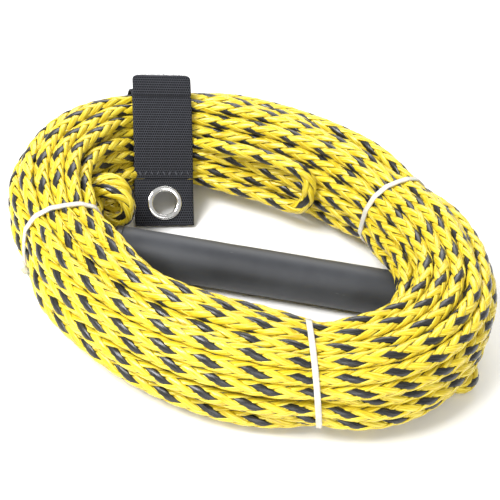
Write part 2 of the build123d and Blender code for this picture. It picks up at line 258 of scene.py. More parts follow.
# ------------------------------------------------------------------ finishes
class Shader:
    """A material's node graph round one Principled shader."""

    def __init__(self, name: str) -> None:
        """Start a material with an empty graph."""
        self.material = bpy.data.materials.new(name)
        self.material.use_nodes = True
        self.nodes = self.material.node_tree.nodes
        self.links = self.material.node_tree.links
        self.nodes.clear()
        self.shader = self.nodes.new("ShaderNodeBsdfPrincipled")
        output = self.nodes.new("ShaderNodeOutputMaterial")
        self.links.new(self.shader.outputs[0], output.inputs["Surface"])

    def set(self, **values: object) -> None:
        """Set the shader's own sockets; underscores stand for spaces."""
        for key, value in values.items():
            self.shader.inputs[key.replace("_", " ")].default_value = value

    def add(self, kind: str, **inputs: object) -> bpy.types.Node:
        """Add a node and set or link its input sockets.

        Args:
            kind: The node's type without its ShaderNode prefix.
            inputs: Values or output sockets by input name, underscores for spaces.

        Returns:
            The node.
        """
        node = self.nodes.new("ShaderNode" + kind)
        for key, value in inputs.items():
            socket = node.inputs[key.replace("_", " ")]
            if isinstance(value, bpy.types.NodeSocket):
                self.links.new(value, socket)
            else:
                socket.default_value = value
        return node

    def place(
        self, scale: tuple[float, float, float] = (1.0, 1.0, 1.0), fibre: bool = False
    ) -> bpy.types.NodeSocket:
        """Texture place, scaled along each axis.

        Args:
            scale: Scale along the three axes.
            fibre: Whether the place runs with the yarn and not with the object.

        Returns:
            The scaled vector.
        """
        if fibre:
            source = self.add("UVMap")
            source.uv_map = "Fibre"
            vector = source.outputs["UV"]
        else:
            vector = self.add("TexCoord").outputs["Object"]
        return self.add("Mapping", Vector=vector, Scale=scale).outputs["Vector"]

    def noise(
        self, vector: bpy.types.NodeSocket, scale: float, detail: float
    ) -> bpy.types.NodeSocket:
        """Noise value between 0 and 1."""
        return self.add("TexNoise", Vector=vector, Scale=scale, Detail=detail).outputs[0]

    def ramp(
        self, value: bpy.types.NodeSocket, stops: list[tuple[float, tuple]]
    ) -> bpy.types.NodeSocket:
        """Colour by value.

        Args:
            value: The value that picks the colour.
            stops: Places and their colours, lowest first.

        Returns:
            The colour.
        """
        node = self.add("ValToRGB", Fac=value)
        elements = node.color_ramp.elements
        while len(elements) < len(stops):
            elements.new(0.5)
        for element, (at, colour) in zip(elements, stops):
            element.position = at
            element.color = (*colour, 1.0)
        return node.outputs["Color"]

    def mix(self, share: object, one: object, two: object) -> bpy.types.NodeSocket:
        """Mix two colours by a share."""
        node = self.nodes.new("ShaderNodeMix")
        node.data_type = "RGBA"
        for index, value in ((0, share), (6, one), (7, two)):
            socket = node.inputs[index]
            if isinstance(value, bpy.types.NodeSocket):
                self.links.new(value, socket)
            else:
                socket.default_value = value
        return node.outputs[2]

    def span(self, value: bpy.types.NodeSocket, low: float, high: float) -> bpy.types.NodeSocket:
        """Stretch a 0 to 1 value to a range."""
        return self.add("MapRange", Value=value, To_Min=low, To_Max=high).outputs["Result"]

    def bump(self, height: bpy.types.NodeSocket, distance: float, strength: float) -> None:
        """Raise the surface by a height; a second call adds to the first."""
        node = self.add("Bump", Height=height, Distance=distance, Strength=strength)
        normal = self.shader.inputs["Normal"]
        if normal.links:
            self.links.new(normal.links[0].from_socket, node.inputs["Normal"])
        self.links.new(node.outputs["Normal"], normal)

    def wire(self, name: str, socket: bpy.types.NodeSocket) -> None:
        """Link a socket to the shader's named input."""
        self.links.new(socket, self.shader.inputs[name])


Colour = tuple[float, float, float]


@dataclass(frozen=True)
class YarnFinish:
    """Glossy flat polypropylene yarn, streaked along its filaments."""

    name: str
    deep: Colour
    middle: Colour
    bright: Colour
    roughness: tuple[float, float] = (0.2, 0.36)
    filament_scale: tuple[float, float, float] = (7.0, 90.0, 1.0)

    def make(self) -> bpy.types.Material:
        """Material whose tone and relief run with the filaments."""
        graph = Shader(self.name)
        streak = graph.noise(graph.place(self.filament_scale, fibre=True), 1.0, 4.0)
        fine = graph.noise(graph.place((26.0, 160.0, 1.0), fibre=True), 1.0, 2.0)
        tone = graph.ramp(streak, [(0.3, self.deep), (0.5, self.middle), (0.72, self.bright)])
        soil = graph.noise(graph.place(), 42.0, 3.0)
        tone = graph.mix(graph.span(soil, 0.0, 0.22), tone, (*self.deep, 1.0))
        graph.wire("Base Color", tone)
        graph.wire("Roughness", graph.span(fine, *self.roughness))
        graph.set(Specular_IOR_Level=0.5, Sheen_Weight=0.04, Sheen_Roughness=0.4)
        graph.bump(streak, 0.14 * MM, 0.9)
        graph.bump(fine, 0.06 * MM, 0.8)
        return graph.material


@dataclass(frozen=True)
class FoamFinish:
    """Closed-cell foam with fine pores and a few pale scuffs."""

    name: str
    dark: Colour
    light: Colour
    scuff: Colour = (0.2, 0.2, 0.205)

    def make(self) -> bpy.types.Material:
        """Material with pores, blotches and rub marks."""
        graph = Shader(self.name)
        even = graph.place()
        blotch = graph.noise(even, 38.0, 4.0)
        tone = graph.ramp(blotch, [(0.35, self.dark), (0.65, self.light)])
        rub = graph.noise(graph.place((0.35, 1.0, 1.0)), 95.0, 5.0)
        marks = graph.ramp(rub, [(0.66, (0.0, 0.0, 0.0)), (0.76, (0.75, 0.75, 0.75))])
        graph.wire("Base Color", graph.mix(marks, tone, (*self.scuff, 1.0)))
        pores = graph.add("TexVoronoi", Vector=even, Scale=1500.0).outputs["Distance"]
        graph.wire("Roughness", graph.span(blotch, 0.42, 0.58))
        graph.set(Specular_IOR_Level=0.45, Sheen_Weight=0.05)
        graph.bump(pores, 0.05 * MM, 0.35)
        graph.bump(graph.noise(even, 240.0, 3.0), 0.2 * MM, 0.3)
        return graph.material


@dataclass(frozen=True)
class WebbingFinish:
    """Black woven webbing: ribs across, filaments along each rib."""

    name: str
    dark: Colour
    light: Colour
    # Colour of the painted glints: painted highlights of the weft between the ribs.
    glint: Colour = (0.07, 0.073, 0.085)
    roughness: tuple[float, float] = (0.5, 0.7)
    cell: tuple[float, float] = (1.45, 1.6)

    def make(self) -> bpy.types.Material:
        """Material of fine filaments over the modelled ribs, with painted glints in rows."""
        graph = Shader(self.name)
        even = graph.place()
        fuzz = graph.noise(even, 2200.0, 2.0)
        lint = graph.noise(even, 130.0, 6.0)
        tone = graph.ramp(fuzz, [(0.35, self.dark), (0.7, self.light)])
        tone = graph.mix(graph.span(lint, 0.0, 0.3), tone, (*self.light, 1.0))
        plan = graph.add("UVMap")
        plan.uv_map = "Weave"
        cells = graph.add(
            "TexBrick",
            Vector=plan.outputs["UV"],
            Scale=1 / MM,
            Mortar_Size=0.13,
            Mortar_Smooth=0.3,
            Brick_Width=self.cell[0],
            Row_Height=self.cell[1],
        )
        # Base colour turns to the glint colour along the brick's mortar lines: painted highlights in rows.
        graph.wire("Base Color", graph.mix(cells.outputs["Fac"], tone, (*self.glint, 1.0)))
        graph.wire("Roughness", graph.span(fuzz, *self.roughness))
        graph.set(Specular_IOR_Level=0.12, Sheen_Weight=0.01, Sheen_Roughness=0.45)
        graph.bump(fuzz, 0.16 * MM, 0.6)
        return graph.material


@dataclass(frozen=True)
class MetalFinish:
    """Metal with faint turned lines and handling marks."""

    name: str
    tint: Colour
    worn: Colour
    roughness: tuple[float, float] = (0.16, 0.34)
    line_scale: float = 900.0

    def make(self) -> bpy.types.Material:
        """Bright metal, duller where it was handled."""
        graph = Shader(self.name)
        even = graph.place()
        marks = graph.noise(even, 420.0, 5.0)
        graph.wire("Base Color", graph.ramp(marks, [(0.4, self.worn), (0.6, self.tint)]))
        graph.wire("Roughness", graph.span(marks, *self.roughness))
        graph.set(Metallic=1.0)
        graph.bump(graph.noise(even, self.line_scale, 2.0), 0.02 * MM, 0.5)
        return graph.material


@dataclass(frozen=True)
class PlasticFinish:
    """Moulded plastic with a fine grain; some lets a little light in."""

    name: str
    tint: Colour
    shade: Colour
    glow: float = 0.0
    roughness: tuple[float, float] = (0.3, 0.48)

    def make(self) -> bpy.types.Material:
        """Plastic of one tint with a fine grain."""
        graph = Shader(self.name)
        even = graph.place()
        cloud = graph.noise(even, 160.0, 4.0)
        graph.wire("Base Color", graph.ramp(cloud, [(0.35, self.shade), (0.65, self.tint)]))
        graph.wire("Roughness", graph.span(cloud, *self.roughness))
        graph.set(Subsurface_Weight=self.glow, Subsurface_Scale=1.2 * MM)
        graph.bump(graph.noise(even, 1300.0, 2.0), 0.03 * MM, 0.4)
        return graph.material


@dataclass(frozen=True)
class Finishes:
    """Every finish of the tow handle."""

    yellow: YarnFinish = YarnFinish(
        "rope_yarn_yellow", (0.4, 0.26, 0.005), (0.69, 0.53, 0.016), (0.88, 0.8, 0.15)
    )
    charcoal: YarnFinish = YarnFinish(
        "rope_yarn_charcoal", (0.004, 0.004, 0.004), (0.012, 0.012, 0.011), (0.04, 0.04, 0.036)
    )
    grip: FoamFinish = FoamFinish("grip_foam_black", (0.02, 0.022, 0.027), (0.034, 0.037, 0.044))
    core: FoamFinish = FoamFinish("float_foam_grey", (0.16, 0.16, 0.165), (0.24, 0.24, 0.245))
    webbing: WebbingFinish = WebbingFinish("webbing_black", (0.0015, 0.0017, 0.0026), (0.006, 0.0065, 0.0095))
    loop: WebbingFinish = WebbingFinish("loop_tape_black", (0.012, 0.012, 0.013), (0.04, 0.04, 0.043))
    hook: PlasticFinish = PlasticFinish("hook_tape_black", (0.03, 0.03, 0.032), (0.012, 0.012, 0.013))
    thread: WebbingFinish = WebbingFinish("thread_black", (0.02, 0.02, 0.022), (0.06, 0.06, 0.064))
    cap: PlasticFinish = PlasticFinish("cap_plastic_black", (0.03, 0.03, 0.033), (0.018, 0.018, 0.02))
    tube: MetalFinish = MetalFinish("tube_aluminium_bare", (0.8, 0.81, 0.82), (0.62, 0.63, 0.65), (0.3, 0.45))
    nickel: MetalFinish = MetalFinish("nickel_bright", (0.86, 0.85, 0.83), (0.76, 0.75, 0.73), (0.1, 0.2))
    tie: PlasticFinish = PlasticFinish(
        "tie_nylon_natural", (0.62, 0.6, 0.53), (0.53, 0.51, 0.44), glow=0.3
    )


# ------------------------------------------------------------------ the hank's plan
@dataclass(frozen=True)
class Station:
    """Section of the hank: u points into the ring, z is the part's own height.

    A leaning section moves along the ring by lean times the height over its middle.
    """

    origin: np.ndarray
    inward: np.ndarray
    lean: float = 0.0
    middle: float = 0.0

    @property
    def along(self) -> np.ndarray:
        """Direction square to the section, clockwise round the ring."""
        return np.cross(self.inward, UP)

    def point(
        self, u: float | np.ndarray, z: float | np.ndarray, side: float | np.ndarray = 0.0
    ) -> np.ndarray:
        """Place of section points in the part's frame.

        Args:
            u: Distance inward of the centreline.
            z: Height in the part's frame.
            side: Distance along the ring.

        Returns:
            Points of three coordinates.
        """
        u, z, side = np.broadcast_arrays(u, z, side)
        side = side + self.lean * (z - self.middle)
        section = self.origin + u[..., None] * self.inward + z[..., None] * UP
        return section + side[..., None] * self.along


@dataclass(frozen=True)
class Oval:
    """The hank's centreline: an oval of four tangent arcs."""

    centre: tuple[float, float] = (-23.0 * MM, 5.4 * MM)
    turn: float = -29.0
    half_length: float = 124.5 * MM
    half_width: float = 97.4 * MM
    end_radius: float = 80.0 * MM

    @property
    def side_radius(self) -> float:
        """Radius of the two long arcs."""
        squares = self.half_length**2 + self.half_width**2 - 2 * self.half_length * self.end_radius
        return squares / (2 * (self.half_width - self.end_radius))

    @property
    def join_angle(self) -> float:
        """Angle of the outward normal where an end arc meets a long arc, in degrees."""
        rise = self.side_radius - self.half_width
        return math.degrees(math.atan2(rise, self.half_length - self.end_radius))

    def arc_data(self, angle: float) -> tuple[tuple[float, float], float]:
        """Centre and radius of the arc whose outward normal has this angle."""
        turned = (angle + 180) % 360 - 180
        end = self.half_length - self.end_radius
        rise = self.side_radius - self.half_width
        if abs(turned) <= self.join_angle:
            return (end, 0.0), self.end_radius
        if abs(turned) >= 180 - self.join_angle:
            return (-end, 0.0), self.end_radius
        return (0.0, -rise if turned > 0 else rise), self.side_radius

    def point(self, angle: float, offset: float, height: float = 0.0) -> tuple[float, float, float]:
        """Point at a distance outside the centreline, in the part's frame."""
        centre, radius = self.arc_data(angle)
        x = centre[0] + (radius + offset) * math.cos(math.radians(angle))
        y = centre[1] + (radius + offset) * math.sin(math.radians(angle))
        c, s = math.cos(math.radians(self.turn)), math.sin(math.radians(self.turn))
        return (self.centre[0] + c * x - s * y, self.centre[1] + s * x + c * y, height)

    def station(self, angle: float, skew: float = 0.0) -> Station:
        """Section plane at an angle of the outward normal, turned further by the skew."""
        heading = math.radians(angle + self.turn + skew)
        inward = np.array([-math.cos(heading), -math.sin(heading), 0.0])
        return Station(np.array(self.point(angle, 0.0)), inward)

    def breaks(self) -> tuple[np.ndarray, np.ndarray]:
        """Angles where the arcs join, and the distance along the centreline there."""
        join = self.join_angle
        angles = np.array([0.0, join, 180 - join, 180 + join, 360 - join, 360.0])
        end, side = self.end_radius, self.side_radius
        radii = np.array([end, side, end, side, end])
        return angles, np.concatenate([[0.0], np.cumsum(np.radians(np.diff(angles)) * radii)])

    @property
    def length(self) -> float:
        """Length of the centreline."""
        return float(self.breaks()[1][-1])

    def angle_at(self, distance: float) -> float:
        """Outward-normal angle at a distance along the centreline."""
        angles, distances = self.breaks()
        return float(np.interp(distance % self.length, distances, angles))

    def distance_at(self, angle: float) -> float:
        """Distance along the centreline at an outward-normal angle."""
        angles, distances = self.breaks()
        return float(np.interp(angle % 360, angles, distances))


@dataclass(frozen=True)
class Bundle:
    """Rounded section of the wound line, and where the strap and the ties squeeze it."""

    width: float = 58.0 * MM
    height: float = 62.0 * MM
    round: float = 24.0 * MM
    floor: float = -14.55 * MM
    tie_angles: dict[str, float] = field(
        default_factory=lambda: {"left": 237.0, "right": 69.5, "front": 308.0}
    )
    tie_squeezes: dict[str, float] = field(
        default_factory=lambda: {"left": 5.5 * MM, "right": 5.0 * MM, "front": 4.5 * MM}
    )
    tie_leans: dict[str, float] = field(
        default_factory=lambda: {"left": 0.0, "right": 0.0, "front": -0.21}
    )
    tie_spread: float = 17.0 * MM
    strap_angle: float = 141.7
    strap_skew: float = -6.7
    strap_width: float = 38.0 * MM
    strap_squeeze: float = 2.2 * MM
    strap_slope: float = 47.0
    strap_flat_depth: float = 16.8 * MM
    strap_corner: float = 7.0 * MM
    strap_fade: float = 14.0 * MM
    corner_steps: int = 18

    @property
    def middle(self) -> float:
        """Height of the section's middle."""
        return self.floor + self.height / 2

    @property
    def slope_down(self) -> np.ndarray:
        """Section direction down the strap's flat."""
        slope = math.radians(self.strap_slope)
        return np.array([math.cos(slope), -math.sin(slope)])

    @property
    def slope_out(self) -> np.ndarray:
        """Section direction out of the strap's flat."""
        slope = math.radians(self.strap_slope)
        return np.array([math.sin(slope), math.cos(slope)])

    def depth(self, places: np.ndarray) -> tuple[np.ndarray, np.ndarray]:
        """How far places lie outside the section, and the way out.

        Args:
            places: Section points (u, z), along the last axis.

        Returns:
            Signed distances, negative inside, and outward directions.
        """
        local = places - np.array([0.0, self.middle])
        half = np.array([self.width / 2 - self.round, self.height / 2 - self.round])
        q = np.abs(local) - half
        outside = np.maximum(q, 0.0)
        reach = np.linalg.norm(outside, axis=-1)
        distance = reach + np.minimum(q.max(axis=-1), 0.0) - self.round
        flat = np.stack([q[..., 0] >= q[..., 1], q[..., 0] < q[..., 1]], axis=-1).astype(float)
        way = np.where((reach > 1e-9)[..., None], outside / np.maximum(reach, 1e-9)[..., None], flat)
        return distance, way * np.sign(local)

    def outline(self, inset: float, corner: float, flat: float) -> np.ndarray:
        """Closed section outline, inset, cut flat and rounded again.

        Args:
            inset: How far inside the bundle the outline lies.
            corner: Radius that rounds the flat's edges.
            flat: Depth of the flat from the section's middle.

        Returns:
            Points (u, z) counter-clockwise; the last is not the first again.
        """
        radius = self.round - inset - corner
        half = np.array([self.width / 2, self.height / 2]) - self.round
        turns = np.linspace(0, math.pi / 2, self.corner_steps)
        core = []
        for quarter, (sx, sy) in enumerate(((1, 1), (-1, 1), (-1, -1), (1, -1))):
            a = turns + quarter * math.pi / 2
            x = sx * half[0] + radius * np.cos(a)
            y = sy * half[1] + radius * np.sin(a)
            core.append(np.stack([x, y], axis=1))
        core = self.clipped(np.concatenate(core), flat - corner)
        return self.grown(core, corner) + np.array([0.0, self.middle])

    def clipped(self, core: np.ndarray, depth: float) -> np.ndarray:
        """Cut a convex outline by the strap's flat at a depth."""
        out = core @ self.slope_out - depth
        kept = []
        for here, after, a, b in zip(core, np.roll(core, -1, axis=0), out, np.roll(out, -1)):
            if a <= 0:
                kept.append(here)
            if (a <= 0) != (b <= 0):
                kept.append(here + (after - here) * a / (a - b))
        return np.array(kept)

    def grown(self, core: np.ndarray, reach: float) -> np.ndarray:
        """Grow a convex outline by a radius, with round corners."""
        edges = unit(np.roll(core, -1, axis=0) - core)
        normals = np.stack([edges[:, 1], -edges[:, 0]], axis=1)
        points = []
        for corner, before, after in zip(core, np.roll(normals, 1, axis=0), normals):
            start = math.atan2(before[1], before[0])
            swing = (math.atan2(after[1], after[0]) - start) % (2 * math.pi)
            if swing > math.pi:
                swing = 0.0
            for a in np.linspace(start, start + swing, max(2, int(swing / 0.12) + 2)):
                points.append(corner + reach * np.array([math.cos(a), math.sin(a)]))
        return np.array(points)

    def squeeze_at(self, oval: Oval, distance: float) -> tuple[float, float]:
        """Inset of the section and depth of its flat at a distance along the oval."""
        inset = 0.0
        for name, angle in self.tie_angles.items():
            gap = self.ring_gap(oval, distance, angle)
            inset = max(inset, self.tie_squeezes[name] * math.exp(-((gap / self.tie_spread) ** 2)))
        gap = self.ring_gap(oval, distance, self.strap_angle)
        beyond = max(0.0, gap - self.strap_width / 2)
        inset = max(inset, self.strap_squeeze * math.exp(-((beyond / self.strap_fade) ** 2)))
        strap = oval.station(self.strap_angle, self.strap_skew)
        away = np.array(oval.point(oval.angle_at(distance), 0.0)) - strap.origin
        lean = (away @ strap.inward) * self.slope_out[0] * max(0.0, 1 - beyond / self.strap_width)
        return inset, self.strap_flat_depth - lean + 0.5 * beyond

    @staticmethod
    def ring_gap(oval: Oval, distance: float, angle: float) -> float:
        """Shortest way along the oval between a distance and an angle."""
        gap = abs(distance - oval.distance_at(angle)) % oval.length
        return min(gap, oval.length - gap)


# ------------------------------------------------------------------ the winding
@dataclass
class Run:
    """A stretch of line laid round the oval, one place at each station it passes."""

    stations: list[int]
    places: np.ndarray
    before: np.ndarray | None = None
    after: np.ndarray | None = None


@dataclass
class Winding:
    """Lays the turns of the line beside and on each other inside the hank's section."""

    oval: Oval
    bundle: Bundle
    rope_radius: float = 4.75 * MM
    packed_radius: float = 4.5 * MM
    squeeze_share: float = 0.11
    station_count: int = 36
    handle_radius: float = 14.25 * MM
    handle_half_length: float = 103.0 * MM
    rounds: int = 700
    seed: int = 7
    turns_before_bight: int = 11
    turns_after_bight: int = 20
    strap_reach: float = 18.0 * MM
    same_side: float = 60.0 * MM
    walk_pull: float = 0.35
    walk_jitter: float = 9.0 * MM
    push_share: float = 0.42
    ease_share: float = 0.16
    ease_until: float = 0.92
    first_size: float = 0.75
    size_growth: float = 0.35
    flat_shrink: float = 0.34 * MM
    flat_shallow: float = 30.0 * MM
    flat_range: float = 13.0 * MM
    handle_shrink: float = 0.3 * MM
    handle_room: float = 1.06
    upward: float = 0.05
    least_slope: float = 0.3
    wander: tuple[tuple[float, float], ...] = ((1.3, 3.6 * MM), (2.7, 2.2 * MM), (5.1, 1.0 * MM))

    def __post_init__(self) -> None:
        """Work out the stations and what each has room for."""
        self.random = np.random.default_rng(self.seed)
        self.distances = self.station_distances()
        self.stations = [self.oval.station(self.oval.angle_at(d)) for d in self.distances]
        squeezes = [self.bundle.squeeze_at(self.oval, d) for d in self.distances]
        self.insets = np.array([s[0] for s in squeezes])
        self.flats = np.array([s[1] for s in squeezes])
        self.origins = np.array([s.origin for s in self.stations])
        self.inwards = np.array([s.inward for s in self.stations])
        self.radii = self.station_radii()

    def station_distances(self) -> np.ndarray:
        """Even distances, moved so that the ties and the strap each have a station."""
        step = self.oval.length / self.station_count
        distances = np.arange(self.station_count) * step
        strap = self.oval.distance_at(self.bundle.strap_angle)
        wanted = [self.oval.distance_at(a) for a in self.bundle.tie_angles.values()]
        wanted += [strap - self.strap_reach, strap, strap + self.strap_reach]
        for place in wanted:
            nearest = int(np.argmin(np.abs(distances - place)))
            distances[nearest] = place
        return np.sort(distances)

    def station_radii(self) -> np.ndarray:
        """Radius that the line packs to at each station, smaller where it is squeezed."""
        small = self.squeeze_share * self.insets
        flat = self.flat_shrink * np.clip((self.flat_shallow - self.flats) / self.flat_range, 0, 1)
        crossed = np.array([self.handle_share(o, i) for o, i in zip(self.origins, self.inwards)])
        return self.packed_radius - np.maximum(small, flat) - self.handle_shrink * crossed

    def handle_share(self, origin: np.ndarray, inward: np.ndarray) -> float:
        """How much of a section the handle's end takes, from 0 to 1."""
        u = np.linspace(-self.bundle.width / 2, self.bundle.width / 2, 30)
        points = origin + u[:, None] * inward
        half_sizes = (self.handle_half_length, self.handle_radius)
        inside = (np.abs(points[:, :2]) < half_sizes).all(axis=1)
        return min(1.0, 2 * float(inside.mean()))

    def slots(self, count: int) -> np.ndarray:
        """Starting places in rows across the section.

        Args:
            count: How many are needed.

        Returns:
            Section points (u, z).
        """
        pitch = 12 * MM
        while True:
            pitch *= 0.99
            rows = np.arange(-6, 7) * pitch * math.sqrt(3) / 2
            grid = [
                (c * pitch + (r % 2) * pitch / 2, self.bundle.middle + height)
                for r, height in enumerate(rows)
                for c in range(-6, 7)
            ]
            grid = np.array(grid)
            inside = grid[self.bundle.depth(grid)[0] < -self.packed_radius * 0.95]
            if len(inside) >= count:
                return inside[self.random.permutation(len(inside))[:count]]

    def walk(
        self, slots: list[np.ndarray], start: np.ndarray, end: np.ndarray, count: int
    ) -> list[np.ndarray]:
        """Take slots one after another, each near the last.

        Args:
            slots: Free slots; those taken are removed.
            start: Where the walk starts.
            end: Where it ends.
            count: How many slots it takes between the two.

        Returns:
            The places in order, start and end included.
        """
        order = [start]
        for k in range(count):
            pull = k / max(count, 1)
            costs = [
                np.linalg.norm(s - order[-1])
                + self.walk_pull * pull * np.linalg.norm(s - end)
                + self.random.uniform(0, self.walk_jitter)
                for s in slots
            ]
            order.append(slots.pop(int(np.argmin(costs))))
        return order + [end]

    def lay(self, first: int, count: int, way: Way, order: list[np.ndarray]) -> Run:
        """Lay a run that drifts from slot to slot as it goes round.

        Args:
            first: First station.
            count: How many stations it passes.
            way: Which way round it goes.
            order: Slots it passes, evenly spaced along it.

        Returns:
            The run, with a slow wander added to its places.
        """
        stations = [(first + way.value * k) % self.station_count for k in range(count)]
        at = np.linspace(0, len(order) - 1, count)
        slots = np.array(order)
        eased = np.floor(at) + smooth_step(at - np.floor(at), 0.25, 0.75)
        places = np.stack([np.interp(eased, np.arange(len(order)), slots[:, k]) for k in range(2)], axis=1)
        for axis in range(2):
            for waves, size in self.wander:
                phase = self.random.uniform(0, 2 * math.pi)
                turn = 2 * math.pi * waves * np.arange(count) / self.station_count
                places[:, axis] += size * np.sin(turn + phase + self.random.normal() * 0.3)
        return Run(stations, places)

    def nearest_station(self, point: tuple[float, float, float]) -> tuple[int, np.ndarray]:
        """Station whose plane lies nearest a point, and the point's place in it."""
        gap = np.array(point) - self.origins
        side = np.abs(np.einsum("ij,ij->i", gap, np.cross(self.inwards, UP)))
        side[np.linalg.norm(gap[:, :2], axis=1) > self.same_side] = 1.0
        index = int(np.argmin(side))
        return index, np.array([gap[index] @ self.inwards[index], point[2]])

    def obstacles(self, routes: list[list[tuple[float, float, float]]]) -> list[tuple[int, np.ndarray]]:
        """Places that the listed stretches of line already take at the stations."""
        found = []
        for route in routes:
            for point in resample(np.array(route), 6 * MM):
                index, place = self.nearest_station(tuple(point))
                if self.bundle.depth(place)[0] < self.rope_radius:
                    found.append((index, place))
        return found

    def keep_off_handle(self, places: np.ndarray, station: np.ndarray) -> np.ndarray:
        """Push places out of the handle and of the floor under it."""

        def room(at: np.ndarray) -> np.ndarray:
            """Distance from the handle's surface, negative inside."""
            points = self.origins[station] + at[:, :1] * self.inwards[station]
            side = np.hypot(points[:, 1], np.maximum(at[:, 1], 0.0)) - self.handle_radius
            end = np.abs(points[:, 0]) - self.handle_half_length
            both = np.hypot(np.maximum(side, 0), np.maximum(end, 0))
            return both + np.minimum(np.maximum(side, end), 0)

        gap = room(places)
        need = self.radii[station] * self.handle_room - gap
        near = need > 0
        if not near.any():
            return places
        step = 0.2 * MM
        rises = [room(places + [step, 0]) - gap, room(places + [0, step]) - gap]
        slope = np.stack(rises, axis=1) / step
        slope[:, 1] += self.upward
        places = places.copy()
        steep = np.maximum(np.linalg.norm(slope, axis=1), self.least_slope)[:, None]
        places[near] += (slope / steep**2 * need[:, None])[near]
        return places

    def relax(self, runs: list[Run], fixed: list[tuple[int, np.ndarray]]) -> None:
        """Push the turns apart inside the section until they lie side by side.

        Args:
            runs: The runs, whose places are changed.
            fixed: Stations and places that are taken.
        """
        taken = np.array([f[0] for f in fixed], int)
        held = np.array([f[1] for f in fixed]).reshape(-1, 2)
        station = np.concatenate([*[np.array(r.stations) for r in runs], taken])
        places = np.concatenate([*[r.places for r in runs], held])
        free = len(station) - len(fixed)
        most = int(np.bincount(station, minlength=self.station_count).max())
        table = np.full((self.station_count, most), -1)
        filled = np.zeros(self.station_count, int)
        for index, here in enumerate(station):
            table[here, filled[here]] = index
            filled[here] += 1
        used = table >= 0
        pair = used[:, :, None] & used[:, None, :] & ~np.eye(most, dtype=bool)
        starts = np.cumsum([0] + [len(r.stations) for r in runs])
        here = station[:free]
        for turn in range(self.rounds):
            grown = min(1.0, self.first_size + self.size_growth * turn / self.rounds)
            spots = places[table]
            gap = spots[:, :, None, :] - spots[:, None, :, :]
            apart = np.maximum(np.linalg.norm(gap, axis=-1), 1e-6)
            wanted = 2 * self.radii[:, None, None] * grown
            short = np.where(pair, np.maximum(wanted - apart, 0), 0)
            push = self.push_share * (gap / apart[..., None] * short[..., None]).sum(axis=2)
            moved = np.zeros_like(places)
            moved[table[used]] = push[used]
            places[:free] += moved[:free]
            if turn < self.rounds * self.ease_until:
                self.ease(places, runs, starts, self.ease_share)
            where = places[:free]
            beyond = where - np.array([0, self.bundle.middle])
            over = beyond @ self.bundle.slope_out - (self.flats[here] - self.radii[here])
            where -= np.maximum(over, 0)[:, None] * self.bundle.slope_out
            distance, way = self.bundle.depth(where)
            over = distance + self.radii[here] + self.insets[here]
            where -= np.maximum(over, 0)[:, None] * way
            places[:free] = self.keep_off_handle(where, here)
        for run, start in zip(runs, starts):
            run.places = places[start : start + len(run.stations)]
        self.settled = [places[:free][here == k] for k in range(self.station_count)]

    @staticmethod
    def ease(places: np.ndarray, runs: list[Run], starts: np.ndarray, share: float) -> None:
        """Smooth each run along its own length, towards its anchors at the ends."""
        for run, start in zip(runs, starts):
            line = places[start : start + len(run.stations)]
            first = run.before if run.before is not None else line[0]
            last = run.after if run.after is not None else line[-1]
            padded = np.concatenate([[first], line, [last]])
            line += share * (padded[:-2] + padded[2:] - 2 * line)

    def points(self, run: Run) -> np.ndarray:
        """Control points of a run in the part's frame."""
        index = np.array(run.stations)
        return self.origins[index] + run.places[:, :1] * self.inwards[index] + run.places[:, 1:] * UP

    def scale_along(self, line: np.ndarray) -> np.ndarray:
        """Thickness of the line at each point, as a share of its free thickness."""
        share = self.radii / self.packed_radius
        flat = line[:, None, :2] - self.origins[None, :, :2]
        sides = np.abs(np.einsum("ijk,jk->ij", flat, np.cross(self.inwards, UP)[:, :2]))
        sides[np.linalg.norm(flat, axis=2) > self.same_side] = 1.0
        nearest = np.argsort(sides, axis=1)[:, :2]
        near = np.take_along_axis(sides, nearest, axis=1) + 1e-6
        weights = (1 / near) / (1 / near).sum(axis=1, keepdims=True)
        return (share[nearest] * weights).sum(axis=1)

    def hull_at(self, angle: float) -> tuple[np.ndarray, float]:
        """Tight outline of the settled turns at an angle.

        Args:
            angle: Outward-normal angle of the section.

        Returns:
            Middles (u, z) of the outermost turns, counter-clockwise, and the line's radius.
        """
        index = int(np.argmin(np.abs(self.distances - self.oval.distance_at(angle))))
        places = self.settled[index]
        hull = places[convex_hull_2d([Vector(p) for p in places])]
        after = np.roll(hull, -1, axis=0)
        if np.sum(hull[:, 0] * after[:, 1] - hull[:, 1] * after[:, 0]) < 0:
            hull = hull[::-1]
        return hull, self.rope_radius * self.radii[index] / self.packed_radius


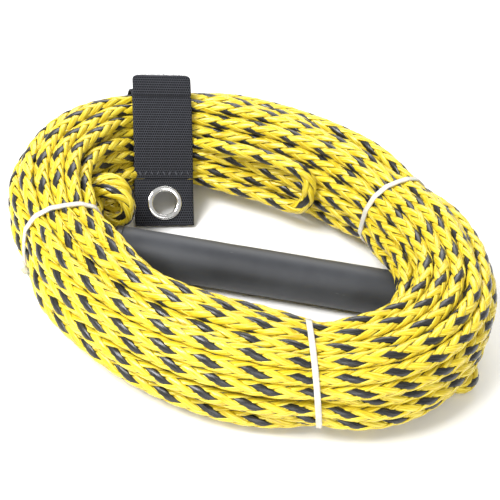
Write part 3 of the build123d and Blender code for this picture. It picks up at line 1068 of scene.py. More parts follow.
# ------------------------------------------------------------------ braided line
@dataclass(frozen=True)
class Braid:
    """Diamond braid of twelve flat strands, six each way round, over two and under two."""

    diameter: float = 9.5 * MM
    middle_radius: float = 3.8 * MM
    swing: float = 0.42 * MM
    thickness: float = 1.0 * MM
    pitch: float = 74.0 * MM
    each_way: int = 6
    dark_strands: tuple[int, ...] = (0, 2, 4)
    half_width: float = 26.5
    wider_on_top: float = 5.0
    step: float = 3.0 * MM
    bake_row: float = 0.47
    route_resolution: int = 10
    ring_spread: tuple[float, ...] = (-1.0, -0.62, 0.0, 0.62, 1.0, 0.72, -0.72)
    ring_lift: tuple[float, ...] = (0.15, 0.42, 0.5, 0.42, 0.15, -0.5, -0.5)

    def route_line(self, points: np.ndarray) -> np.ndarray:
        """Smooth line through a route: one open NURBS spline, read without a bevel.

        Args:
            points: The route's points, which become the control points.

        Returns:
            The spline's points, evenly spaced.
        """
        curve = bpy.data.curves.new("line_route", "CURVE")
        curve.dimensions = "3D"
        curve.resolution_u = self.route_resolution
        spline = curve.splines.new("NURBS")
        spline.points.add(len(points) - 1)
        homogeneous = np.concatenate([points, np.ones((len(points), 1))], axis=1)
        spline.points.foreach_set("co", homogeneous.astype(np.float32).ravel())
        spline.order_u = 3
        spline.use_endpoint_u = True
        bare = bpy.data.objects.new("line_route", curve)
        mesh = bpy.data.meshes.new_from_object(bare)
        line = np.zeros(len(mesh.vertices) * 3)
        mesh.vertices.foreach_get("co", line)
        bpy.data.meshes.remove(mesh)
        bpy.data.curves.remove(curve)
        return resample(line.reshape(-1, 3), self.step)

    @staticmethod
    def frames(line: np.ndarray) -> tuple[np.ndarray, np.ndarray]:
        """Two directions square to the line that turn as little as they can along it."""
        tangents = unit(np.gradient(line, axis=0))
        side = np.zeros_like(line)
        start = UP if abs(tangents[0][2]) < 0.9 else np.array([1.0, 0.0, 0.0])
        side[0] = unit(start - tangents[0] * (start @ tangents[0]))
        for k in range(1, len(line)):
            moved = side[k - 1] - tangents[k] * (side[k - 1] @ tangents[k])
            side[k] = moved / np.linalg.norm(moved)
        return side, np.cross(tangents, side)

    def wave(self, place: np.ndarray) -> np.ndarray:
        """1 where a strand lies on top and -1 where it lies under, over its crossings."""
        return np.cos(2 * math.pi * (place - 0.5) / 4)

    def strand(
        self, line: np.ndarray, index: int, scale: np.ndarray | float = 1.0
    ) -> tuple[np.ndarray, np.ndarray]:
        """Points of one strand along a line.

        Args:
            line: Evenly spaced points of the rope's middle.
            index: Which strand; the first half turn one way, the rest the other way.
            scale: Thickness of the rope along the line, as a share.

        Returns:
            Rings of seven points, and the distance along the line of each ring.
        """
        along = arc_lengths(line)
        side, other = self.frames(line)
        way = 1 if index < self.each_way else -1
        number = index % self.each_way
        turned = way * 2 * math.pi * along / self.pitch
        angle = turned + 2 * math.pi * number / self.each_way
        over = self.wave(2 * number + self.each_way * turned / math.pi)
        radius = self.middle_radius + way * self.swing * over
        half = np.radians(self.half_width + self.wider_on_top * way * over)
        spread = np.array(self.ring_spread)
        lift = np.array(self.ring_lift) * self.thickness
        turn = angle[:, None] + half[:, None] * spread[None, :]
        reach = (radius[:, None] + lift[None, :]) * np.broadcast_to(scale, len(line))[:, None]
        out = np.cos(turn)[..., None] * side[:, None, :]
        out = out + np.sin(turn)[..., None] * other[:, None, :]
        return line[:, None, :] + reach[..., None] * out, along

    def uv_maps(self, along: np.ndarray, ring: int) -> dict[str, np.ndarray]:
        """UV maps of a strand: one that runs with the yarn, one laid in rows for baking."""
        rows = len(along) - 1
        first = np.repeat(along[:-1], ring)
        last = np.repeat(along[1:], ring)
        column = np.tile(np.arange(ring), rows)
        v = np.stack([first, first, last, last], axis=1)
        w = np.stack([column, column + 1, column + 1, column], axis=1) / ring
        fibre = np.stack([w * ring / 4, v], axis=-1).reshape(-1, 2)
        count = max(1, math.ceil(along[-1] / self.bake_row))
        row = np.floor((first + last) / 2 / self.bake_row)[:, None]
        x = (v - row * self.bake_row) / self.bake_row
        y = (row + 0.08 + 0.84 * w) / count
        bake = np.stack([0.01 + 0.98 * np.clip(x, 0, 1), y], axis=-1).reshape(-1, 2)
        return {"Fibre": fibre, "OFBake": bake}

    def strand_piece(
        self,
        name: str,
        line: np.ndarray,
        index: int,
        material: bpy.types.Material,
        scale: np.ndarray,
    ) -> bpy.types.Object:
        """One strand as a closed mesh."""
        rings, along = self.strand(line, index, scale)
        count, ring = rings.shape[:2]
        points, quads = rings.reshape(-1, 3), ring_quads(count, ring)
        piece = make_piece(name, points, quads, end_caps(0, count, ring), self.uv_maps(along, ring))
        piece.data.materials.append(material)
        return piece

    def is_dark(self, index: int) -> bool:
        """Whether a strand is charcoal."""
        return index in self.dark_strands

    def short_piece(
        self, name: str, line: np.ndarray, materials: tuple[bpy.types.Material, bpy.types.Material]
    ) -> bpy.types.Object:
        """A short length of the braid with all its strands in one mesh.

        Args:
            name: Name of the piece.
            line: Evenly spaced points of the rope's middle.
            materials: Yellow and charcoal yarn.

        Returns:
            The mesh piece.
        """
        points, quads, caps, fibres, bakes, marks = [], [], [], [], [], []
        base = 0
        for index in range(2 * self.each_way):
            rings, along = self.strand(line, index)
            count, ring = rings.shape[:2]
            maps = self.uv_maps(along, ring)
            points.append(rings.reshape(-1, 3))
            quads.append(ring_quads(count, ring) + base)
            caps += end_caps(base, count, ring)
            fibres.append(maps["Fibre"])
            bakes.append((maps["OFBake"] + [0, index]) / [1, 2 * self.each_way])
            marks.append(np.full((count - 1) * ring, int(self.is_dark(index))))
            base += count * ring
        uvs = {"Fibre": np.concatenate(fibres), "OFBake": np.concatenate(bakes)}
        piece = make_piece(name, np.concatenate(points), np.concatenate(quads), caps, uvs)
        for material in materials:
            piece.data.materials.append(material)
        ends = np.repeat([int(self.is_dark(k)) for k in range(2 * self.each_way)], 2)
        chosen = np.concatenate([*marks, ends]).astype(np.int32)
        piece.data.polygons.foreach_set("material_index", chosen)
        return piece


@dataclass
class TowLine:
    """The tow line: one long braided rope from the handle, wound into the hank."""

    winding: Winding
    braid: Braid
    length: float = 22.9
    bridle_length: float = 0.27
    cap_end: float = 103.0 * MM
    bight_spacing: float = 22.0 * MM
    left_bight_x: float = -98.0 * MM
    left_bight_y: float = 20.0 * MM
    bight_low: float = 4.0 * MM
    curl_rise: float = 4.0 * MM
    curl_inset: float = 2.0 * MM
    back_bight_spacing: float = 30.0 * MM
    back_bight_angles: tuple[float, ...] = (118.0, 103.5, 89.0)
    back_bight_offset: float = -31.75 * MM
    eye_radial: float = 27.0 * MM
    eye_leg: float = 22.0 * MM
    eye_angle: float = 9.0
    eye_height: float = -9.5 * MM

    def curl(self) -> list[tuple[float, float, float]]:
        """Small turn that the line makes behind the left bight before it comes out."""
        low = self.bight_low + self.curl_rise
        high = low + self.bight_spacing - self.curl_inset
        front = self.left_bight_x - self.curl_rise
        back = front - self.bight_spacing + self.curl_inset
        y = self.left_bight_y + self.braid.diameter
        return [(back, y, high), (front, y, high), (front, y, low), (back, y, low)]

    def left_bight(self) -> list[tuple[float, float, float]]:
        """Tight bight that stands out of the bundle beside the handle's left end."""
        low = self.bight_low
        high = low + self.bight_spacing
        back = self.left_bight_x - self.bight_spacing
        x, y = self.left_bight_x, self.left_bight_y
        return [(back, y + 2 * MM, high), (x, y, high), (x, y, low), (back, y + 3 * MM, low)]

    def back_bight(self) -> list[tuple[float, float, float]]:
        """Bight that lies along the inner face of the back run."""
        low = self.bight_low
        high = low + self.back_bight_spacing
        oval, offset = self.winding.oval, self.back_bight_offset
        upper = [oval.point(a, offset, high) for a in self.back_bight_angles]
        lower = [oval.point(a, offset, low) for a in reversed(self.back_bight_angles)]
        return upper + lower

    def eye(self) -> list[tuple[float, float, float]]:
        """Boat-end eye that peeps out from under the bundle's outer side."""
        oval = self.winding.oval
        tip = np.array(oval.point(self.eye_angle, self.eye_radial, self.eye_height))
        root = np.array(oval.point(self.eye_angle, self.eye_radial - self.eye_leg, self.eye_height))
        across = np.cross(unit(tip - root), UP) * self.bight_spacing / 2
        return [tuple(root + across), tuple(tip + across), tuple(tip - across), tuple(root - across)]

    def left_leg(self) -> list[tuple[float, float, float]]:
        """Line from the left end cap up to the first bight."""
        end = -self.cap_end
        return [
            (end, 0.0, 0.0),
            (end - 9 * MM, 0.0, 0.0),
            (end - 21 * MM, 6 * MM, 7 * MM),
            (end - 24 * MM, 18 * MM, 18 * MM),
        ]

    def right_leg(self) -> list[tuple[float, float, float]]:
        """Line from the right end cap into the bundle."""
        end = self.cap_end
        return [(end, 0.0, 0.0), (end + 8 * MM, 1 * MM, 1 * MM), (end + 12 * MM, 12 * MM, 8 * MM)]

    def runs(self) -> list[Run]:
        """Wind the line: before the back bight, up to the eye, past it, and the right leg."""
        winding = self.winding
        count = winding.station_count
        bight, eye, left = self.back_bight(), self.eye(), self.left_bight()
        start, start_place = winding.nearest_station(left[-1])
        up_station, up_place = winding.nearest_station(bight[0])
        eye_first, eye_place = winding.nearest_station(eye[0])
        eye_last, _ = winding.nearest_station(eye[-1])
        leg_station, leg_place = winding.nearest_station(self.right_leg()[-1])
        inner = np.array([20 * MM, 0.0])
        upper, lower = up_place - inner / 2, np.array([up_place[0], bight[-1][2]]) - inner / 2
        slots = list(winding.slots(winding.turns_before_bight + winding.turns_after_bight + 1))
        first_turns, last_turns = winding.turns_before_bight, winding.turns_after_bight
        one = winding.walk(slots, start_place - inner / 2, upper, first_turns - 1)
        two = winding.walk(slots, lower, eye_place, last_turns)
        length_one = first_turns * count + (start - up_station) % count - 1
        length_two = last_turns * count + (eye_first - up_station) % count - 1
        run_one = winding.lay(start - 1, length_one, Way.CLOCKWISE, one)
        run_two = winding.lay((up_station + 1) % count, length_two, Way.COUNTER, two)
        run_one.before, run_one.after = start_place, up_place
        run_two.before, run_two.after = np.array([up_place[0], bight[-1][2]]), eye_place
        tail_slots = [eye_place, eye_place + [9 * MM, 4 * MM]]
        tail = winding.lay((eye_last + 1) % count, 5, Way.COUNTER, tail_slots)
        tail.before = eye_place
        leg_slots = [leg_place, leg_place + [-4 * MM, 4 * MM]]
        leg = winding.lay(leg_station + 1, 11, Way.COUNTER, leg_slots)
        leg.before = leg_place
        runs = [run_one, run_two, tail, leg]
        routes = [self.left_leg() + self.curl() + left, bight, eye, self.right_leg()]
        winding.relax(runs, winding.obstacles(routes))
        return runs

    @staticmethod
    def firmed(points: np.ndarray) -> np.ndarray:
        """Move control points out so that the smooth line passes close to them."""
        firm = points.copy()
        firm[1:-1] += (2 * points[1:-1] - points[:-2] - points[2:]) / 8
        return firm

    def build(
        self, finishes: dict[str, bpy.types.Material]
    ) -> tuple[list[bpy.types.Object], list[np.ndarray]]:
        """Make the strands of the long line and the short right bridle leg.

        Args:
            finishes: Materials by finish name.

        Returns:
            The pieces, the right leg last, and the lines of the two cords.
        """
        one, two, tail, leg = [self.winding.points(run) for run in self.runs()]
        route = np.concatenate(
            [
                np.array(self.left_leg() + self.curl() + self.left_bight()),
                self.firmed(one),
                np.array(self.back_bight()),
                self.firmed(two),
                np.array(self.eye()),
                self.firmed(tail),
            ]
        )
        line = self.braid.route_line(route)
        scale = self.winding.scale_along(line)
        strands = []
        for index in range(2 * self.braid.each_way):
            material = finishes["charcoal" if self.braid.is_dark(index) else "yellow"]
            name = f"rope_strand_{index + 1:02d}"
            strands.append(self.braid.strand_piece(name, line, index, material, scale))
        leg_route = np.concatenate([np.array(self.right_leg()), self.firmed(leg)])
        leg_line = self.braid.route_line(leg_route)
        yarns = (finishes["yellow"], finishes["charcoal"])
        strands.append(self.braid.short_piece("bridle_leg_right_braid", leg_line, yarns))
        inner = np.zeros((70, 3))
        inner[:, 0] = np.linspace(-self.cap_end, self.cap_end, 70)
        strands.append(self.braid.short_piece("bridle_rope_braid_in_handle", inner, yarns))
        return strands, [line, leg_line]

    def dress(
        self, pieces: list[bpy.types.Object], lines: list[np.ndarray], on_line: list[bpy.types.Object]
    ) -> None:
        """Args:
            pieces: What build returned.
            lines: The lines that the cords follow; not used.
            on_line: Other pieces that the long line carries; not used.
        """
        for piece in pieces:
            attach(piece, Body.HANK.value)
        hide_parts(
            "rope_hank", "bridle_leg_left", "rope_bight_left", "rope_bight_back", "boat_end_eye"
        )
        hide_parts("bridle_leg_right")
        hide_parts("bridle_rope_in_handle")
        self.length


# ------------------------------------------------------------------ handle
@dataclass
class Handle:
    """Foam grip over an aluminium tube, with moulded end caps."""

    grip_radius: float = 14.25 * MM
    bore_radius: float = 9.575 * MM
    half_length: float = 98.0 * MM
    edge_round: float = 0.9 * MM
    dent_height: float = 0.12 * MM

    def grip_profile(self) -> np.ndarray:
        """Section of the sleeve: radius and place along the handle."""
        outer = []
        turns = np.linspace(0, math.pi / 2, 5)
        length, radius, edge = self.half_length, self.grip_radius, self.edge_round
        for a in turns:
            outer.append((radius - edge + edge * math.sin(a), -length + edge - edge * math.cos(a)))
        for x in np.linspace(-length + 4 * edge, length - 4 * edge, 150):
            dent = math.sin(x * 61) * math.sin(x * 173 + 1) * self.dent_height
            outer.append((radius + min(0.0, dent), x))
        for a in turns[::-1]:
            outer.append((radius - edge + edge * math.sin(a), length - edge + edge * math.cos(a)))
        inner = [(self.bore_radius, x) for x in np.linspace(length, -length, 12)]
        return np.array(outer + inner)

    def build(self, finishes: dict[str, bpy.types.Material]) -> bpy.types.Object:
        """Make the sleeve."""
        grip = lathe("foam_grip_sleeve", self.grip_profile(), np.zeros(3), np.array([1.0, 0, 0]), 72)
        grip.data.materials.append(finishes["grip"])
        return grip

    def dress(self, grip: bpy.types.Object, finishes: dict[str, bpy.types.Material]) -> None:
        """Ride the sleeve and finish the hard parts."""
        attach(grip, Body.HANDLE.value)
        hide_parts("foam_grip")
        for node, finish in (
            ("handle_tube", "tube"),
            ("float_core", "core"),
            ("end_cap_left", "cap"),
            ("end_cap_right", "cap"),
        ):
            paint(frame["nodes"][node], finishes[finish])


def paint(piece: bpy.types.Object, material: bpy.types.Material) -> None:
    """Give every material slot of a piece the same material."""
    if not piece.data.materials:
        piece.data.materials.append(material)
    for index in range(len(piece.data.materials)):
        piece.data.materials[index] = material


# ------------------------------------------------------------------ keeper strap
@dataclass
class Keeper:
    """Webbing strap round the hank: wrap, tapes, front run, grommet tab and closing flap."""

    oval: Oval
    bundle: Bundle
    width: float = 38.0 * MM
    thickness: float = 1.5 * MM
    soft_gap: float = 0.3 * MM
    hinge_gap: float = 0.3 * MM
    loop_thickness: float = 0.8 * MM
    hook_thickness: float = 1.0 * MM
    above_flat: float = 3.0 * MM
    below_flat: float = 12.8 * MM
    patch_margin: float = 1.5 * MM
    tab_length: float = 28.7 * MM
    bow: float = 2.2 * MM
    flap_curl: float = 2.4 * MM
    corner_round: float = 3.0 * MM
    tab_thickness: float = 3.0 * MM
    flap_length: float = 13.0 * MM
    flap_heading: float = 128.0
    rib_pitch: float = 1.6 * MM
    rib_height: float = 0.32 * MM
    twill_pitch: float = 1.0 * MM
    yarn_pitch: float = 1.45 * MM
    grid_step: float = 0.32 * MM
    tab_step: float = 0.4 * MM
    tab_overlap: float = 0.35
    front_twill: tuple[float, float] = (3.0 * MM, 0.12)
    all_twill: tuple[float, float] = (99.0 * MM, 0.0)
    hole_reach: float = 0.36 * MM
    hole_slack: float = 0.05 * MM
    stitch_lean: float = 28.0
    stitch_radius: float = 0.42 * MM
    hole_radius: float = 8.55 * MM
    grommet_from_end: float = 14.5 * MM
    grommet_hole: float = 7.5 * MM
    grommet_barrel: float = 8.5 * MM
    grommet_flange: float = 11.0 * MM
    grommet_rim: float = 1.3 * MM
    stitch_count: int = 9
    stitch_length: float = 3.4 * MM
    fray_count: int = 260
    seed: int = 11

    def __post_init__(self) -> None:
        """Take the hinges from the frame and the directions from the section."""
        self.station = self.oval.station(self.bundle.strap_angle, self.bundle.strap_skew)
        self.axis = self.station.along
        down, out = self.bundle.slope_down, self.bundle.slope_out
        self.down = down[0] * self.station.inward + down[1] * UP
        self.out = out[0] * self.station.inward + out[1] * UP
        pivots = {j["name"]: np.array(j["pos_m"]) for j in frame["joints"]}
        self.tab_pivot = pivots["tab_swing"]
        self.flap_pivot = pivots["flap_peel"]
        heading = math.radians(self.flap_heading)
        self.flap_way = math.cos(heading) * self.station.inward + math.sin(heading) * UP
        face = np.cross(self.axis, self.flap_way)
        self.flap_face = face * np.sign(face @ self.out)
        self.grommet_centre = self.tab_pivot + self.down * (self.tab_length - self.grommet_from_end)

    def weave(self, along: np.ndarray, across: np.ndarray, twill: bool = False) -> np.ndarray:
        """Height of the woven face.

        Args:
            along: Distances along the webbing, as a column.
            across: Distances across it, as a row.
            twill: Whether the face has slanting ribs and not straight ones.

        Returns:
            Heights over the flat face, a grid.
        """
        if twill:
            slant = 2 * math.pi * (along + 0.6 * across) / self.twill_pitch
            return 0.5 * self.rib_height * (0.5 + 0.5 * np.sin(slant))
        rib = np.abs(np.sin(math.pi * along / self.rib_pitch)) ** 0.7
        shift = math.pi * np.floor(along / self.rib_pitch)
        yarn = 0.5 + 0.5 * np.cos(2 * math.pi * across / self.yarn_pitch + shift)
        return self.rib_height * rib * (0.72 + 0.28 * yarn)

    def webbing(
        self,
        name: str,
        middle: np.ndarray,
        normal: np.ndarray,
        thickness: float,
        twill: tuple[float, float] | None = None,
        closed: bool = False,
        hole: float | None = None,
        width: float | None = None,
        corner: float = 0.0,
    ) -> bpy.types.Object:
        """Weave a length of webbing along a line.

        Args:
            name: Name of the piece.
            middle: Points along the middle of the webbing, evenly spaced.
            normal: Direction out of its face at each point.
            thickness: Thickness between the two faces.
            twill: Stretch from the start that is woven slanting, with its slope.
            closed: Whether the last point joins the first.
            hole: Distance from the start to a round hole's centre.
            width: Width of the webbing, if not the strap's own.
            corner: Radius of the rounded corners at its last end.

        Returns:
            The webbing as one closed mesh.
        """
        wide = width or self.width
        across = np.linspace(-wide / 2, wide / 2, int(wide / (0.5 * MM)) + 1)[None, :]
        along = arc_lengths(middle)[:, None]
        height = self.weave(along, across)
        if twill is not None:
            share = smooth_step(along + twill[1] * across, twill[0], twill[0] + 0.6 * MM)
            height = share * height + (1 - share) * self.weave(along, across, twill=True)
        half = (thickness / 2 - self.rib_height) * (1 - 0.55 * np.abs(2 * across / wide) ** 24)
        near_end = np.clip(corner - (along[-1] - along), 0.0, corner)
        narrowed = 1 - 2 * (corner - np.sqrt(np.maximum(corner**2 - near_end**2, 0.0))) / wide
        grid = middle[:, None, :] + (narrowed * across)[..., None] * self.axis
        keep = None
        if hole is not None:
            grid, keep = self.with_hole(grid, along, across, hole)
        lift = (half + height)[..., None] * normal[:, None, :]
        plan = np.stack(np.broadcast_arrays(across, along), axis=-1)
        return thick_sheet(name, grid + lift, grid - lift, plan, keep, closed)

    def with_hole(
        self, grid: np.ndarray, along: np.ndarray, across: np.ndarray, hole: float
    ) -> tuple[np.ndarray, np.ndarray]:
        """Open a round hole in a grid and draw its border onto the circle."""
        du, dv = np.broadcast_arrays(along - hole, across)
        far = np.hypot(du, dv)
        near = np.abs(far - self.hole_radius) < self.hole_reach
        pull = np.where(near, self.hole_radius / np.maximum(far, 1e-6) - 1, 0)
        way = unit(grid[-1, 0] - grid[0, 0])
        moved = grid + (pull * du)[..., None] * way + (pull * dv)[..., None] * self.axis
        far = np.where(near, self.hole_radius, far)
        mean = (far[:-1, :-1] + far[1:, :-1] + far[:-1, 1:] + far[1:, 1:]) / 4
        return moved, mean > self.hole_radius - self.hole_slack

    def straight(self, start: np.ndarray, end: np.ndarray) -> np.ndarray:
        """Evenly spaced points between two."""
        return resample(np.array([start, end]), self.grid_step)

    def facing(self, line: np.ndarray, normal: np.ndarray) -> np.ndarray:
        """Direction out of the face at every point of a line, near a given one."""
        out = unit(np.cross(self.axis, np.gradient(line, axis=0)))
        return out * np.sign(out @ normal)[:, None]

    def bowed(self, line: np.ndarray) -> np.ndarray:
        """Bow a straight stretch of the closure outwards over the bundle."""
        share = arc_lengths(line) / arc_lengths(line)[-1]
        return line + (self.bow * np.sin(math.pi * share))[:, None] * self.out

    def wrap(self) -> bpy.types.Object:
        """Webbing turn that hugs the bundle."""
        bundle = self.bundle
        outline = bundle.outline(
            bundle.strap_squeeze - self.soft_gap - self.thickness / 2,
            bundle.strap_corner + self.soft_gap + self.thickness / 2,
            bundle.strap_flat_depth + self.soft_gap + self.thickness / 2,
        )
        line = resample(np.concatenate([outline, outline[:1]]), self.grid_step)[:-1]
        raised = (line - [0.0, bundle.middle]) @ bundle.slope_out
        down = line @ bundle.slope_down
        flat = raised > raised.max() - 0.2 * MM
        share = (down - down[flat].min()) / np.ptp(down[flat])
        line = line + np.where(flat, self.bow * np.sin(math.pi * share), 0.0)[:, None] * bundle.slope_out
        way = unit(np.roll(line, -1, axis=0) - np.roll(line, 1, axis=0))
        out = np.stack([way[:, 1], -way[:, 0]], axis=1)
        middle = self.station.point(line[:, 0], line[:, 1])
        normal = out[:, :1] * self.station.inward + out[:, 1:] * UP
        self.wrap_length = float(arc_lengths(np.concatenate([middle, middle[:1]]))[-1])
        return self.webbing("keeper_wrap_webbing", middle, normal, self.thickness, closed=True)

    def front(self) -> bpy.types.Object:
        """Outer run of webbing, from the flap down to the tab."""
        start = self.flap_pivot + self.down * (self.hinge_gap + self.thickness / 2)
        end = self.tab_pivot - self.down * (self.tab_thickness / 2 + self.hinge_gap)
        line = self.bowed(self.straight(start, end))
        normal = self.facing(line, self.out)
        return self.webbing("keeper_front_webbing", line, normal, self.thickness, twill=self.front_twill)

    def tab(self) -> bpy.types.Object:
        """Doubled tab with the hole for the grommet."""
        start = self.tab_pivot - self.down * self.tab_thickness * self.tab_overlap
        end = self.tab_pivot + self.down * self.tab_length
        line = resample(np.array([start, end]), self.tab_step)
        hole = self.tab_length - self.grommet_from_end + self.tab_thickness * self.tab_overlap
        return self.webbing(
            "keeper_tab_webbing", line, self.facing(line, self.out), self.tab_thickness, hole=hole
        )

    def flap(self) -> bpy.types.Object:
        """Free end of the closure above the bundle."""
        start = self.flap_pivot - 0.4 * MM * self.flap_way
        line = self.straight(start, self.flap_pivot + self.flap_way * self.flap_length)
        share = arc_lengths(line) / self.flap_length
        line = line - (self.flap_curl * share**2)[:, None] * self.flap_face
        facing = self.facing(line, self.flap_face)
        return self.webbing(
            "keeper_flap_webbing",
            line,
            facing,
            self.thickness,
            twill=self.all_twill,
            corner=self.corner_round,
        )

    def fray(self) -> bpy.types.Object:
        """Short loose filaments along the flap's cut end."""
        random = np.random.default_rng(self.seed)
        normal = self.flap_face
        end = self.flap_pivot + self.flap_way * self.flap_length - normal * self.flap_curl
        points, quads, caps = [], [], []
        for index in range(self.fray_count):
            side = random.uniform(-0.43, 0.43) * self.width
            root = end + self.axis * side + normal * random.uniform(-0.4, 0.4) * self.thickness
            lean = self.flap_way + self.axis * random.normal() * 0.5 + normal * random.normal() * 0.35
            tip = root + unit(lean) * random.uniform(0.6, 2.1) * MM
            bend = (root + tip) / 2 + self.axis * random.normal() * 0.15 * MM
            radius = random.uniform(0.04, 0.08) * MM
            start = root - self.flap_way * 0.5 * MM
            for place, size in ((start, radius), (bend, radius), (tip, radius * 0.5)):
                for turn in (0, 2.094, 4.189):
                    points.append(place + size * (math.cos(turn) * self.axis + math.sin(turn) * normal))
            base = 9 * index
            quads.append(ring_quads(3, 3) + base)
            caps += end_caps(base, 3, 3)
        return make_piece("keeper_flap_fray", np.array(points), np.concatenate(quads), caps)

    def tapes(self) -> list[bpy.types.Object]:
        """Loop tape on the wrap and hook tape behind the front run."""
        top = self.flap_pivot + self.down * (self.hinge_gap + self.thickness / 2 + self.above_flat)
        bottom = self.tab_pivot - self.down * self.below_flat
        centre = (top + bottom) / 2
        half = float(np.linalg.norm(bottom - top)) / 2
        depth = self.thickness / 2
        pieces = []
        for name, thickness in (
            ("keeper_hook_tape", self.hook_thickness),
            ("keeper_loop_tape", self.loop_thickness),
        ):
            place = centre - self.out * (depth + thickness / 2)
            line = self.bowed(self.straight(place - self.down * half, place + self.down * half))
            width = self.width - 2 * self.patch_margin
            pieces.append(self.webbing(name, line, self.facing(line, self.out), thickness, width=width))
            depth += thickness
        self.tape_length = 2 * half
        return pieces

    def stitches(self) -> bpy.types.Object:
        """Zigzag of thick thread that closes the hem above the tab."""
        row = self.tab_pivot - self.down * (self.tab_thickness / 2 + self.hinge_gap + self.stitch_length)
        face = row + self.out * self.thickness / 2
        pitch = (self.width - 2 * self.patch_margin) / self.stitch_count
        points, quads, caps = [], [], []
        rings, around = 9, 8
        for index in range(self.stitch_count):
            side = (index - (self.stitch_count - 1) / 2) * pitch
            lean = math.radians(self.stitch_lean if index % 2 else -self.stitch_lean)
            way = math.cos(lean) * self.down + math.sin(lean) * self.axis
            flat = np.cross(way, self.out)
            base = len(points)
            for t in np.linspace(-1, 1, rings):
                middle = face + side * self.axis + way * t * self.stitch_length / 2
                middle = middle + self.out * (0.38 * math.sqrt(max(0.0, 1 - t * t)) - 0.1) * MM
                size = self.stitch_radius * (1 - 0.35 * t * t)
                for a in np.linspace(0, 2 * math.pi, around, endpoint=False):
                    points.append(middle + size * (math.cos(a) * flat + math.sin(a) * self.out))
            quads.append(ring_quads(rings, around) + base)
            caps += end_caps(base, rings, around)
        piece = make_piece("keeper_hem_stitches", np.array(points), np.concatenate(quads), caps)
        clean_normals(piece)
        return piece

    def eyelet(self) -> bpy.types.Object:
        """Rolled eyelet: crowned front rim and barrel with its turned-over end."""
        hole, barrel, flange = self.grommet_hole, self.grommet_barrel, self.grommet_flange
        face, rim = self.tab_thickness / 2, self.grommet_rim
        back = -(face + 2 * rim)
        crown = [
            (flange - rim / 2 + rim / 2 * math.cos(a), face + rim / 2 + rim / 2 * math.sin(a))
            for a in np.linspace(-math.pi / 2, math.pi / 2, 8)
        ]
        across, shares = np.linspace(flange - rim / 2, hole + rim, 6), np.linspace(0, 1, 6)
        top = [
            (r, face + rim * (1 + 0.12 * math.sin(math.pi * t)))
            for r, t in zip(across[1:-1], shares[1:-1])
        ]
        lip = [
            (hole + rim - rim * math.sin(a), face + rim * math.cos(a))
            for a in np.linspace(0, math.pi / 2, 8)
        ]
        inside = [(hole, z) for z in np.linspace(face - rim / 2, back + 0.4 * MM, 6)]
        roll = [
            (hole + 0.5 * MM + 0.5 * MM * math.cos(a), back + 0.4 * MM - 0.4 * MM * math.sin(a))
            for a in np.linspace(math.pi, 0, 7)[1:]
        ]
        outer = [(barrel, z) for z in (back + 1.2 * MM, 0.0, face)]
        profile = np.array(crown + top + lip + inside + roll + outer)
        return lathe("grommet_eyelet_rolled", profile, self.grommet_centre, self.out, 64)

    def washer(self) -> bpy.types.Object:
        """Domed washer behind the tab."""
        inner, outer = self.grommet_barrel + 0.05 * MM, self.grommet_flange
        face, rim = -self.tab_thickness / 2, self.grommet_rim
        edge = [
            (outer - rim / 2 + rim / 2 * math.cos(a), face - rim / 2 - rim / 2 * math.sin(a))
            for a in np.linspace(-math.pi / 2, math.pi / 2, 8)
        ]
        bevel = [(inner + 0.3 * MM, face - rim), (inner, face - rim + 0.3 * MM)]
        profile = np.array([(inner, face), *edge, *bevel])
        return lathe("grommet_washer_domed", profile, self.grommet_centre, self.out, 64)

    def build(self, finishes: dict[str, bpy.types.Material]) -> dict[str, bpy.types.Object]:
        """Make every piece of the strap.

        Args:
            finishes: Materials by finish name.

        Returns:
            The pieces by the CAD node they stand for, with the fray as an extra.
        """
        hook, loop = self.tapes()
        pieces = {
            "keeper_wrap": self.wrap(),
            "keeper_front_run": self.front(),
            "keeper_tab": self.tab(),
            "keeper_closing_flap": self.flap(),
            "fray": self.fray(),
            "keeper_hook_patch": hook,
            "keeper_loop_patch": loop,
            "keeper_stitches": self.stitches(),
            "grommet_eyelet": self.eyelet(),
            "grommet_washer": self.washer(),
        }
        paints = {
            "keeper_hook_patch": "hook",
            "keeper_loop_patch": "loop",
            "keeper_stitches": "thread",
            "grommet_eyelet": "nickel",
            "grommet_washer": "nickel",
        }
        for node, piece in pieces.items():
            piece.data.materials.append(finishes[paints.get(node, "webbing")])
        return pieces

    def dress(self, pieces: dict[str, bpy.types.Object]) -> None:
        bodies = {
            "keeper_tab": Body.TAB,
            "grommet_eyelet": Body.TAB,
            "grommet_washer": Body.TAB,
            "keeper_closing_flap": Body.FLAP,
            "fray": Body.FLAP,
        }
        for node, piece in pieces.items():
            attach(piece, bodies.get(node, Body.HANK).value)
            if node != "fray":
                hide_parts(node)


